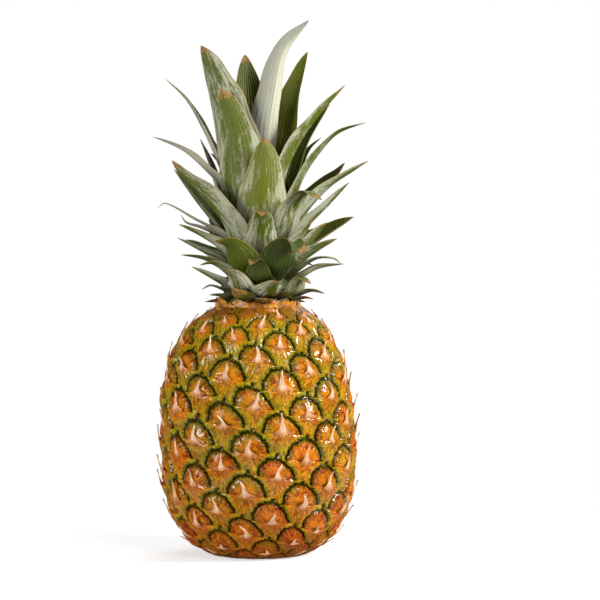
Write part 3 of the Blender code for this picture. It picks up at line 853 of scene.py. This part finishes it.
def blade(name, across_cells, along_cells):
    """A flat grid from -1 to 1, to be shaped; gives it, and each corner's two shares."""
    alone()
    bpy.ops.mesh.primitive_grid_add(
        x_subdivisions=across_cells, y_subdivisions=along_cells, size=2.0, calc_uvs=True
    )
    made = newest(name)
    made.data.uv_layers[0].name = LEAF_MAP
    flat = corner_places(made)
    return made, flat[:, 0], (flat[:, 1] + 1.0) / 2.0


def mark(made, look, size, thickness=None):
    """Stores a piece's look, its width and length in mm and its corners' shares of the thickness."""
    for name, values in ((LEAF_LOOK, look), (LEAF_SIZE, size)):
        attribute = made.data.attributes.new(name, "FLOAT_VECTOR", "POINT")
        attribute.data.foreach_set("vector", np.tile(values, len(made.data.vertices)))
    group = made.vertex_groups.new(name="thickness")
    if thickness is None:
        thickness = np.ones(len(made.data.vertices))
    for index, share in enumerate(thickness):
        group.add([index], float(share), "REPLACE")


def thicken(made, thickness):
    """Gives a sheet its thickness by its corners' shares, its outer side with the second material."""
    shell = made.modifiers.new("thickness", "SOLIDIFY")
    shell.thickness = thickness
    shell.offset = 0.0
    shell.vertex_group = "thickness"
    shell.material_offset = 1
    shell.material_offset_rim = 0
    apply_all(made)


def finish_bracts(name, bracts, material, thickness):
    """Joins thin bracts into one piece of the fruit and gives them their thickness."""
    made = join(name, bracts)
    made.data.materials.append(material)
    thicken(made, thickness)
    finish_piece(made, CREASE_ANGLE, "pineapple_skin")


def tip_material():
    fruit = bpy.context.scene.pineapple_fruit
    make = Maker("dry_bract_tip")
    across, along = make.map(LEAF_MAP)[:2]
    seed, unused, dryness = make.attribute(LEAF_LOOK)
    side = absolute(across * 2.0 - 1.0)
    fibre = make.noise(make.vector(across * 13.0, along * 2.2, seed * 40.0), 1.0, 3.0, 0.6, 0.5)
    stain = make.noise(make.vector(across * 2.0, along * 5.0, seed * 23.0), 1.0, 3.0, 0.6)
    colour = mix(blend(0.44, 0.60, fibre), fruit.paper, (0.42, 0.17, 0.07))
    colour = mix(blend(0.55, 0.75, stain) * dryness, colour, (0.36, 0.15, 0.07))
    low = blend(0.44, 0.20, along + (fibre - 0.5) * 0.6 - side * side * 0.3)
    root_colour = mix(blend(0.44, 0.58, fibre), (0.60, 0.24, 0.04), (0.22, 0.05, 0.012))
    colour = mix(low * 0.95, colour, root_colour)
    brown_end = blend(0.78, 1.0, along + (fibre - 0.5) * 0.3) * dryness
    colour = mix(brown_end, colour, (0.28, 0.10, 0.04))
    return make.surface(
        Base_Color=colour,
        Roughness=0.45,
        Normal=make.bump(fibre, 0.5 * MM),
        Specular_IOR_Level=0.4,
        Subsurface_Weight=0.1,
        Subsurface_Scale=1.0 * MM,
    )


def make_tip(order, heights, climb, draw):
    """One eye's tip, flared low down and drawn out to a point, or None past the fruit's ends.

    Its width, climb and stand-off are in mm, for an eye of the belly.
    """
    right, left = eye_of_order(order)
    plain_right, plain_left = plain_place(right, left)
    angle, height = skin_place(plain_right, plain_left, heights, climb)
    scale = draw.uniform(0.95, 1.12)
    reach = 0.55 if draw.random() < 0.15 else draw.uniform(0.75, 1.2)
    aside = draw.uniform(-0.22, 0.22)
    bend = draw.uniform(-3.0, 3.0)
    curl = draw.uniform(-1.2, 1.2)
    stand_off = draw.uniform(0.2, 2.0)
    width = draw.uniform(0.8, 1.15)
    flared = draw.uniform(0.8, 3.4)
    dryness = draw.uniform(0.0, 0.8)
    if not TIP_HEIGHTS[0] < height[0] < TIP_HEIGHTS[1]:
        return None
    lift = skin_relief(np.array([float(right)]), np.array([float(left)]) - 1e-4, height)
    place = skin_point(angle, height, lift)[0]
    radius, out, up = (float(part[0]) for part in outline_frame(height))
    size = scale * (radius / bpy.context.scene.pineapple_fruit.belly_radius) ** 1.15 * MM
    turn = float(angle[0])
    front = np.array([out * math.sin(turn), -out * math.cos(turn), up])
    sideways = np.array([math.cos(turn), math.sin(turn), 0.0])
    upward = np.cross(front, sideways)
    made, across, along = blade("tip", 6, 10)
    rise = np.clip((along - 0.3) / 0.7, 0.0, 1.0)
    flare = width * flared * np.exp(-(((along - 0.28) / 0.14) ** 2))
    half = flare + width * 2.4 * np.sqrt(np.clip(along / 0.3, 0.0, 1.0)) * (1.0 - rise) ** 1.5
    half = half * (1.0 + 0.12 * np.sin(9.0 * along + dryness * 20.0 + 2.0 * across)) + 0.1
    climb_up = -4.2 + (4.2 + 10.0 * reach) * along + 0.6 * np.abs(across) * (along < 0.35)
    stand = -1.1 + 2.0 * blend(0.0, 0.3, along) + stand_off * rise**1.3
    stand = stand - 0.8 * across**2 * (1.0 - rise) ** 2 + 0.5 * across**2 * rise
    side = half * across + aside * climb_up + bend * rise**2.0 + curl * np.sin(rise * 4.0)
    shaped = side[:, None] * sideways + climb_up[:, None] * upward + stand[:, None] * front
    move_corners(made, place + size * shaped)
    mark(made, (draw.random(), scale, dryness), (6.0, 10.0, 0.0))
    return made


class PINEAPPLE_OT_tips(bpy.types.Operator):
    """The papery tip in the middle of each eye, each with its own size, lean and bend"""

    bl_idname = "pineapple.tips"
    bl_label = "Bract tips"

    def execute(self, context):
        heights, climb = outline_table()
        draw = random.Random(TIP_SEED)
        lowest = math.floor(-EYE_LEVEL / EYE_RISE)
        highest = math.ceil((climb[-1] - EYE_LEVEL) / EYE_RISE)
        tips = [make_tip(order, heights, climb, draw) for order in range(lowest, highest)]
        tips = [made for made in tips if made is not None]
        finish_bracts("bract_tips", tips, tip_material(), TIP_THICKNESS)
        return {"FINISHED"}


def neck_material():
    make = Maker("neck_bract")
    across, along = make.map(LEAF_MAP)[:2]
    seed, unused, dryness = make.attribute(LEAF_LOOK)
    side = absolute(across * 2.0 - 1.0)
    folds = make.noise(make.vector(across * 9.0, along * 1.6, seed * 30.0), 1.0, 3.0, 0.6, 0.5)
    patch = make.noise(make.place(), 230.0, 4.0, 0.68)
    colour = mix(blend(0.35, 0.65, folds), (0.58, 0.17, 0.008), (0.58, 0.27, 0.010))
    colour = mix(blend(0.48, 0.60, folds) * 0.85, colour, (0.16, 0.035, 0.006))
    colour = mix(blend(0.75, 1.2, side + patch * 0.4), colour, (0.56, 0.36, 0.02))
    colour = mix(blend(0.5, 0.62, patch) * dryness * 0.8, colour, (0.22, 0.19, 0.012))
    # Red-brown towards the root, partly its own colour and partly painted shade where the bracts lie over
    # each other
    rust = blend(0.95, 0.25, along) * blend(0.42, 0.56, patch)
    colour = mix(rust * 0.9, colour, (0.15, 0.03, 0.010))
    papery = blend(0.78, 1.0, along + (folds - 0.5) * 0.5)
    colour = mix(papery * 0.7, colour, (0.60, 0.33, 0.15))
    relief = make.bump(folds, 1.0 * MM)
    return make.surface(
        Base_Color=colour,
        Roughness=0.4,
        Normal=make.bump(patch, 0.5 * MM, 0.8, relief),
        Specular_IOR_Level=0.3,
        Coat_Weight=0.15,
        Coat_Roughness=0.12,
    )


def make_neck_bract(ring, step, draw):
    """A low round bract that leans against the neck, with a rippled and curled edge."""
    height, radius, count, width, length, lean_in = NECK_RINGS[ring]
    turn = 2.0 * math.pi * (step + 0.5 * ring + draw.uniform(-0.16, 0.16)) / count
    made, across, along = blade("neck_bract", 8, 8)
    half = 0.5 * width * draw.uniform(0.8, 1.1) * ((1.0 - along**1.7) ** 0.8 + 0.02)
    tall = length * draw.uniform(0.55, 0.95)
    spread = draw.uniform(-0.6, 0.6) * MM
    curl = draw.uniform(-1.0, 1.6) * MM
    ripple = 0.5 * MM * np.sin(across * 7.0 + step * 2.0) * along
    out = radius - 0.4 * MM - lean_in * tall * along + spread * along + curl * along**4 + ripple
    out = out - 1.8 * MM * across**2
    side = half * across + draw.uniform(-1.5, 1.5) * MM * along
    climb = height - 1.5 * MM + tall * along - 0.8 * MM * across**2 * along
    cosine = math.cos(turn)
    sine = math.sin(turn)
    places = [out * sine + side * cosine + lean(height), -out * cosine + side * sine, climb]
    move_corners(made, np.stack(places, axis=-1))
    look = (draw.random(), 1.0, draw.uniform(0.2, 0.9))
    mark(made, look, (width / MM, length / MM, 0.0))
    return made


class PINEAPPLE_OT_neck(bpy.types.Operator):
    """The small bracts round the neck, close under the crown"""

    bl_idname = "pineapple.neck"
    bl_label = "Neck bracts"

    def execute(self, context):
        draw = random.Random(NECK_SEED)
        steps = [(ring, step) for ring, sizes in enumerate(NECK_RINGS) for step in range(sizes[2])]
        bracts = [make_neck_bract(ring, step, draw) for ring, step in steps]
        finish_bracts("neck_bracts", bracts, neck_material(), NECK_THICKNESS)
        return {"FINISHED"}


def stalk_material():
    make = Maker("cut_stalk_fibres")
    x, y = make.parts(make.place())[:2]
    section = make.vector(x, y, 0.0)
    from_axis = root(x * x + y * y) / STALK_RADIUS
    pores = make.noise(section, 1500.0, 2.0, 0.6)
    rings = make.noise(section, 260.0, 3.0, 0.6)
    colour = mix(blend(0.3, 0.7, rings), (0.50, 0.39, 0.20), (0.33, 0.22, 0.09))
    colour = mix(blend(0.58, 0.72, pores) * 0.7, colour, (0.12, 0.07, 0.025))
    rind = blend(0.80, 0.98, from_axis + (rings - 0.5) * 0.2)
    colour = mix(rind * 0.8, colour, (0.13, 0.075, 0.03))
    return make.surface(
        Base_Color=colour,
        Roughness=0.85,
        Normal=make.bump(pores + rings, 0.4 * MM),
        Specular_IOR_Level=0.2,
    )


class PINEAPPLE_OT_stalk(bpy.types.Operator):
    """The cut end of the stalk, level with the base"""

    bl_idname = "pineapple.stalk"
    bl_label = "Stalk end"

    def execute(self, context):
        alone()
        bpy.ops.mesh.primitive_cylinder_add(
            vertices=72, radius=STALK_RADIUS, depth=STALK_DEPTH, location=(0.0, 0.0, STALK_DEPTH / 2.0)
        )
        made = newest("stalk_end")
        settle(made)
        edge = made.modifiers.new("edge", "BEVEL")
        edge.width = 0.4 * MM
        edge.segments = 3
        apply_all(made)
        made.data.materials.append(stalk_material())
        finish_piece(made, 40.0, "cut_stalk", "stalk")
        return {"FINISHED"}


# The crown

def stem_radius(height):
    share = (height - STEM_FOOT) / (STEM_TOP - STEM_FOOT)
    return STEM_FOOT_RADIUS + (STEM_TOP_RADIUS - STEM_FOOT_RADIUS) * share


def turned(place, turn, reach, root_height):
    """A place of a leaf, moved round the stem and drawn in towards the leaf's root."""
    cosine = math.cos(math.radians(turn))
    sine = math.sin(math.radians(turn))
    side, depth, height = place
    return (
        reach * (side * cosine - depth * sine),
        reach * (side * sine + depth * cosine),
        root_height + reach * (height - root_height),
    )


def back_leaves():
    """The leaves of the back: the front's, turned round the stem, each a little different."""
    draw = random.Random(BACK_SEED)
    for finish, angle, root_height, width, route in FRONT_LEAVES:
        if abs(angle) > BACK_LIMIT:
            continue
        turn = BACK_TURN + draw.uniform(-BACK_TURN_DRIFT, BACK_TURN_DRIFT)
        reach = draw.uniform(*BACK_REACH)
        reach = min(reach, (BACK_TALLEST - root_height) / (route[-1][2] - root_height))
        behind = tuple(turned(place, turn, reach, root_height) for place in route)
        yield finish, angle + turn, root_height, width * draw.uniform(0.9, 1.05), behind


def leaf_route(angle, root_height, route):
    """The points that a leaf's middle line goes through, from its root in the stem to its tip."""
    turn = math.radians(angle)
    depth = ROOT_DEPTH * stem_radius(root_height * MM)
    start = Vector((depth * math.sin(turn), -depth * math.cos(turn), root_height * MM))
    return [start] + [Vector(place) * MM for place in route]


def along_route(places, share):
    """The place and the direction at a share of the way, on a smooth curve through the places."""
    lengths = [(after - before).length for before, after in zip(places, places[1:])]
    left = share * sum(lengths)
    index = 0
    while index < len(lengths) - 1 and left > lengths[index]:
        left -= lengths[index]
        index += 1
    start, end = places[index], places[index + 1]
    before = places[index - 1] if index else 2.0 * start - end
    after = places[index + 2] if index + 2 < len(places) else 2.0 * end - start
    leave = (end - before) / (lengths[index] + (start - before).length)
    arrive = (after - start) / (lengths[index] + (after - end).length)
    part = min(1.0, left / lengths[index])
    arms = lengths[index] / 3.0
    return cubic(start, start + arms * leave, end - arms * arrive, end, part)


def cubic(first, second, third, fourth, share):
    """The place and the direction on a Bezier curve."""
    left = 1.0 - share
    low = left * first + share * second
    middle = left * second + share * third
    high = left * third + share * fourth
    low, high = left * low + share * middle, left * middle + share * high
    return left * low + share * high, (high - low).normalized()


def leaf_width_share(share, width):
    """A leaf's width along it: a little narrowed at the root, full, then tapered to the tip."""
    power = LEAF_TAPER + LEAF_TAPER_RISE * max(0.0, width - LEAF_NARROW)
    taper = np.maximum(0.0, 1.0 - share**power) ** LEAF_TAPER_ROUND
    return taper * (0.9 + 0.2 * np.sin(np.pi * np.minimum(1.0, 1.3 * share)))


def above_fruit(places):
    """The lowest leaves lie on the fruit: what would sink into its top is eased above it."""
    rise = (places[:, 2] - LEAF_LOWEST) / LEAF_REST_BLEND
    eased = LEAF_LOWEST + LEAF_REST_BLEND * np.log1p(np.exp(np.minimum(rise, 20.0)))
    places[:, 2] = np.where(rise < 20.0, eased, places[:, 2])
    return places


def make_leaf(leaf, draw):
    """A channelled blade with slightly wavering margins, on the CAD leaf's middle line."""
    finish, angle, root_height, width, route = leaf
    made, across, share = blade("leaf", LEAF_ACROSS, LEAF_ALONG)
    share = 1.0 - (1.0 - share) ** 1.25
    places = leaf_route(angle, root_height, route)
    turn = math.radians(angle)
    sideways = Vector((math.cos(turn), math.sin(turn), 0.0))
    middles, sides, inners = [], [], []
    stations, station_of = np.unique(np.round(share, 6), return_inverse=True)
    for station in stations:
        place, along = along_route(places, float(station))
        side = (sideways - along * sideways.dot(along)).normalized()
        middles.append(place)
        sides.append(side)
        inners.append(along.cross(side))
    middles, sides, inners = (np.array(each)[station_of] for each in (middles, sides, inners))
    length = sum((after - before).length for before, after in zip(places, places[1:]))
    phase = draw.uniform(0.0, 6.28)
    waves = max(2.0, length / LEAF_WAVE)
    waver = np.sin(2.0 * math.pi * waves * share + phase + 1.9 * (across > 0.0))
    half = 0.5 * width * MM * leaf_width_share(share, width)
    half = half * (1.0 + LEAF_WAVER * waver * np.abs(across) * (share < 0.999))
    cup = 2.0 * half * (LEAF_CUP_ROOT + (LEAF_CUP_TIP - LEAF_CUP_ROOT) * share)
    if route[-1][2] < route[-2][2] - 2.0:
        cup = cup * (1.0 - 0.9 * blend(0.30, 0.62, share))
    lift = cup * np.abs(across) ** 1.7 + LEAF_WAVER * half * waver * across**2
    places = middles + (half * across)[:, None] * sides + lift[:, None] * inners
    move_corners(made, above_fruit(places))
    silver, bright, brown = LEAF_FINISHES[finish]
    silver = min(1.0, max(0.0, silver + draw.uniform(-0.08, 0.08)))
    thick = 1.0 + (LEAF_TIP_THICKNESS / LEAF_THICKNESS - 1.0) * share
    thick = np.minimum(thick, 0.30 * half / LEAF_THICKNESS + 0.06)
    thickness = thick * (LEAF_MARGIN_SHARE + (1.0 - LEAF_MARGIN_SHARE) * (1.0 - across**2))
    # A random seed with the green's brightness in front of it, in tens
    look = (draw.random() + 10.0 * round(bright * 10.0), silver, brown)
    mark(made, look, (width, length / MM, 0.0), thickness)
    return made


def leaf_material(name, outer):
    crown = bpy.context.scene.pineapple_crown
    make = Maker(name)
    across_share, along = make.map(LEAF_MAP)[:2]
    across = across_share * 2.0 - 1.0
    side = absolute(across)
    code, silver, brown = make.attribute(LEAF_LOOK)
    x, y, height = make.parts(make.place())
    bright = whole_below(code / 10.0) / 10.0
    seed = code - bright * 100.0
    width, length = make.attribute(LEAF_SIZE)[:2]
    wide = across * width * 0.5
    far = along * length
    veins = make.noise(make.vector(wide * 1.5, far * 0.03, seed * 31.0), 1.0, 2.0, 0.6)
    cloud = make.noise(make.vector(wide * 0.20, far * 0.06, seed * 17.0), 1.0, 4.0, 0.65, 0.6)
    flecks = make.noise(make.vector(wide * 0.8, far * 0.28, seed * 23.0), 1.0, 3.0, 0.7)

    mealy = make.noise(make.place(), 1300.0, 2.0, 0.7)
    green = mix(bright, crown.dark_green, crown.bright_green)
    light = blend(0.35, 0.75, flecks) * (0.2 + bright * 0.5)
    green = mix(light, green, crown.light_green)
    deep = (0.026, 0.040, 0.006)
    green = mix(blend(0.5, 0.8, veins) * 0.35, green, deep)
    # Painted shade: the green is darker towards each leaf's root, where the leaves shade each other
    green = mix(blend(0.45, 0.0, along) * 0.6, green, deep)
    wax = cloud * 0.56 + flecks * 0.20 + veins * 0.04 + mealy * 0.20
    if outer:
        wax = wax + (0.42 - along) * (0.26 - silver * 0.2) + side * side * 0.12 + silver * 0.40
        share = blend(0.63, 0.78, wax)
        colour = mix(share * (0.42 + silver * 0.52 + (mealy - 0.5) * 0.4), green, crown.silver)
        # Painted shade on the silvery leaves: a dark line along the fold, and the half left of it greyer,
        # as if turned from the light
        fold = across - 0.22 + (cloud - 0.5) * 0.1
        silvery = above(silver, 0.77)
        crease_shade = blend(0.03, 0.012, absolute(fold)) * blend(0.35, 0.5, along)
        colour = mix(crease_shade * silvery * 0.8, colour, (0.16, 0.10, 0.05))
        painted_shade_half = blend(0.06, -0.06, fold) * silvery
        colour = mix(painted_shade_half * 0.7, colour, (0.235, 0.24, 0.195))
    else:
        wax = wax + (0.4 - along) * 0.2 + silver * 0.2
        share = blend(0.60, 0.82, wax)
        colour = mix(share * 0.35, make.tint(green, 0.5, 1.0, 0.9), crown.silver)
    ragged = (flecks - 0.5) * 0.16 + (cloud - 0.5) * 0.1
    dry = blend(0.0, 0.06, along - 1.0 + brown + ragged + side * 0.02)
    rust = mix(blend(0.4, 0.65, flecks), crown.brown, (0.42, 0.24, 0.10))
    colour = mix(dry * 0.9, colour, rust)
    spots = blend(0.66, 0.74, cloud * 0.5 + flecks * 0.5 + brown * 0.2)
    colour = mix(spots * 0.8, colour, (0.20, 0.08, 0.02))
    edge = blend(0.91, 0.98, side + ragged * 0.5)
    colour = mix(edge * (0.3 + blend(0.4, 0.9, along) * 0.5), colour, crown.edge)
    # Painted shade: darker between the leaves, close to the stem
    inward = root(x * x + y * y) - (57.0 * MM - height * 0.2)
    shade = blend(9.0 * MM, -1.0 * MM, inward)
    colour = make.tint(colour, 0.5, 1.1 + shade * 0.15, 1.0 - shade * 0.52)
    ribs = wave(wide * 2.6 + veins * 3.0)
    relief = make.bump(ribs * 0.35 + veins + flecks * 0.5, 0.22 * MM)
    return make.surface(
        Base_Color=colour,
        Roughness=0.50 + share * 0.20,
        Normal=relief,
        Specular_IOR_Level=0.25,
        Subsurface_Weight=0.05,
        Subsurface_Scale=1.0 * MM,
    )


class CrownSettings(bpy.types.PropertyGroup):
    dark_green: colour_setting("Dark green", "The deep green of the leaves", 0.040, 0.056, 0.010)
    bright_green: colour_setting("Bright green", "The green of the brightest leaves", 0.112, 0.132, 0.010)
    light_green: colour_setting("Light green", "The lighter patches", 0.115, 0.130, 0.020)
    silver: colour_setting("Bloom", "The silvery wax on the leaves", 0.46, 0.455, 0.355)
    brown: colour_setting("Dry tips", "The brown of the tips", 0.20, 0.10, 0.035)
    edge: colour_setting("Margins", "The thin brown line along the margins", 0.24, 0.16, 0.035)


def make_stem():
    alone()
    bpy.ops.mesh.primitive_cone_add(
        vertices=48,
        radius1=STEM_FOOT_RADIUS,
        radius2=STEM_TOP_RADIUS,
        depth=STEM_TOP - STEM_FOOT,
        location=(0.0, 0.0, (STEM_TOP + STEM_FOOT) / 2.0),
    )
    stem = newest("stem")
    settle(stem)
    stem.data.uv_layers[0].name = LEAF_MAP
    mark(stem, (0.5, 0.0, 0.0), (20.0, 60.0, 0.0), np.zeros(len(stem.data.vertices)))
    return stem


class PINEAPPLE_OT_crown(bpy.types.Operator):
    """The crown: its leaves, long in the middle and short below, and the stem they grow from"""

    bl_idname = "pineapple.crown"
    bl_label = "Crown"

    def execute(self, context):
        draw = random.Random(CROWN_SEED)
        leaves = [make_leaf(leaf, draw) for leaf in (*FRONT_LEAVES, *back_leaves())]
        stem = make_stem()
        made = join("crown_leaves", leaves)
        made.data.materials.append(leaf_material("leaf_outer_side", True))
        made.data.materials.append(leaf_material("leaf_inner_side", False))
        thicken(made, LEAF_THICKNESS)
        stem.data.materials.append(made.data.materials[0])
        finish_piece(join("crown_leaves", [made, stem]), CREASE_ANGLE, "crown_leaf", "crown")
        return {"FINISHED"}


# The studio: each light's name, place, size and power
STUDIO_LIGHTS = (
    ("key_light", (0.70, -1.20, 0.95), 0.6, 10.1),
    ("right_light", (1.05, -0.30, 0.60), 0.35, 25.0),
    ("back_light", (0.3, 0.9, 0.9), 0.8, 8.0),
    ("left_light", (-1.1, -0.8, 0.5), 0.6, 20.0),
)
WORLD_LIGHT = 0.16
FLOOR_RADIUS = 1.2
FLOOR_DROP = 0.2 * MM
FLOOR_SHARE = 0.6
FLOOR_FADE = (0.06, 0.32)
LIT_PLACE = (0.0, 0.0, 0.15)
CAMERA_LEVEL = 0.158
CAMERA_AIM = (24.7 * MM, 0.0, 150.5 * MM)
CAMERA_NEAREST = 0.05


def studio_world():
    """A white surround that lights the scene only a little."""
    world = bpy.data.worlds.new("studio")
    world.use_nodes = True
    nodes = world.node_tree.nodes
    links = world.node_tree.links
    background = nodes["Background"]
    background.inputs["Color"].default_value = (1.0, 1.0, 1.0, 1.0)
    seen = nodes.new("ShaderNodeLightPath").outputs["Is Camera Ray"]
    strength = nodes.new("ShaderNodeMapRange")
    strength.inputs["To Min"].default_value = WORLD_LIGHT
    strength.inputs["To Max"].default_value = 1.0
    links.new(seen, strength.inputs["Value"])
    links.new(strength.outputs[0], background.inputs["Strength"])
    return world


def studio_floor():
    """A pale floor that fades out away from the fruit."""
    alone()
    bpy.ops.mesh.primitive_circle_add(
        vertices=96, radius=FLOOR_RADIUS, fill_type="NGON", location=(0.0, 0.0, -FLOOR_DROP)
    )
    floor = newest("floor")
    make = Maker("pale_floor")
    x, y = make.parts(make.place())[:2]
    make.surface(
        Base_Color=(0.93, 0.93, 0.93),
        Roughness=0.6,
        Alpha=FLOOR_SHARE - blend(*FLOOR_FADE, root(x * x + y * y)) * FLOOR_SHARE,
        Emission_Color=(1.0, 1.0, 1.0),
        Emission_Strength=0.2,
    )
    floor.data.materials.append(make.material)
    return floor


def turn_to(piece, target):
    """Turns a light or the camera to look at a place."""
    piece.rotation_euler = (target - piece.location).to_track_quat("-Z", "Y").to_euler()


class StudioSettings(bpy.types.PropertyGroup):
    distance: FloatProperty(
        name="Distance",
        description="From the camera to the fruit's axis",
        default=1.3,
        unit="LENGTH",
    )
    elevation: FloatProperty(
        name="Elevation",
        description="How far the camera looks down, in degrees",
        default=1.5,
    )
    lens: FloatProperty(
        name="Lens",
        description="Focal length in millimetres",
        default=131.1,
    )


class PINEAPPLE_OT_studio(bpy.types.Operator):
    """A pale floor, soft lights and the camera"""

    bl_idname = "pineapple.studio"
    bl_label = "Studio"

    def execute(self, context):
        studio = context.scene.pineapple_studio
        floor = studio_floor()
        floor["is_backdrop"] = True
        context.scene.world = studio_world()

        for name, place, size, power in STUDIO_LIGHTS:
            bpy.ops.object.light_add(type="AREA", location=place)
            light = bpy.context.object
            light.name = name
            light.data.size = size
            light.data.energy = power
            turn_to(light, Vector(LIT_PLACE))

        rise = math.radians(studio.elevation)
        level = CAMERA_LEVEL + studio.distance * math.sin(rise)
        bpy.ops.object.camera_add(location=(0.0, -studio.distance * math.cos(rise), level))
        camera = bpy.context.object
        camera.name = "camera"
        camera.data.lens = studio.lens
        camera.data.clip_start = CAMERA_NEAREST
        turn_to(camera, Vector(CAMERA_AIM))
        context.scene.camera = camera
        context.scene.view_settings.view_transform = "Standard"
        return {"FINISHED"}


class PINEAPPLE_PT_panel(bpy.types.Panel):
    bl_idname = "PINEAPPLE_PT_panel"
    bl_label = "Pineapple"
    bl_space_type = "VIEW_3D"
    bl_region_type = "UI"
    bl_category = "Pineapple"

    def draw(self, context):
        layout = self.layout
        for operator in OPERATORS:
            layout.operator(operator.bl_idname)
        for name in SETTINGS:
            settings = getattr(context.scene, name)
            box = layout.box()
            for each in settings.bl_rna.properties.keys():
                if each not in ("rna_type", "name"):
                    box.prop(settings, each)


OPERATORS = (
    PINEAPPLE_OT_skin,
    PINEAPPLE_OT_tips,
    PINEAPPLE_OT_neck,
    PINEAPPLE_OT_stalk,
    PINEAPPLE_OT_crown,
    PINEAPPLE_OT_studio,
)
SETTINGS = {
    "pineapple_fruit": FruitSettings,
    "pineapple_crown": CrownSettings,
    "pineapple_studio": StudioSettings,
}
CLASSES = (*SETTINGS.values(), *OPERATORS, PINEAPPLE_PT_panel)


def register():
    for made in CLASSES:
        bpy.utils.register_class(made)
    for name, settings in SETTINGS.items():
        setattr(bpy.types.Scene, name, PointerProperty(type=settings))


def unregister():
    for name in SETTINGS:
        delattr(bpy.types.Scene, name)
    for made in reversed(CLASSES):
        bpy.utils.unregister_class(made)


def main():
    register()
    alone()
    bpy.ops.pineapple.skin()
    bpy.ops.pineapple.tips()
    bpy.ops.pineapple.neck()
    bpy.ops.pineapple.stalk()
    bpy.ops.pineapple.crown()
    bpy.ops.pineapple.studio()
    boxes = {"cad": CAD_BOX, "visual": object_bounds()}
    {name: [list(corner) for corner in box] for name, box in boxes.items()}


if __name__ == "__main__":
    main()
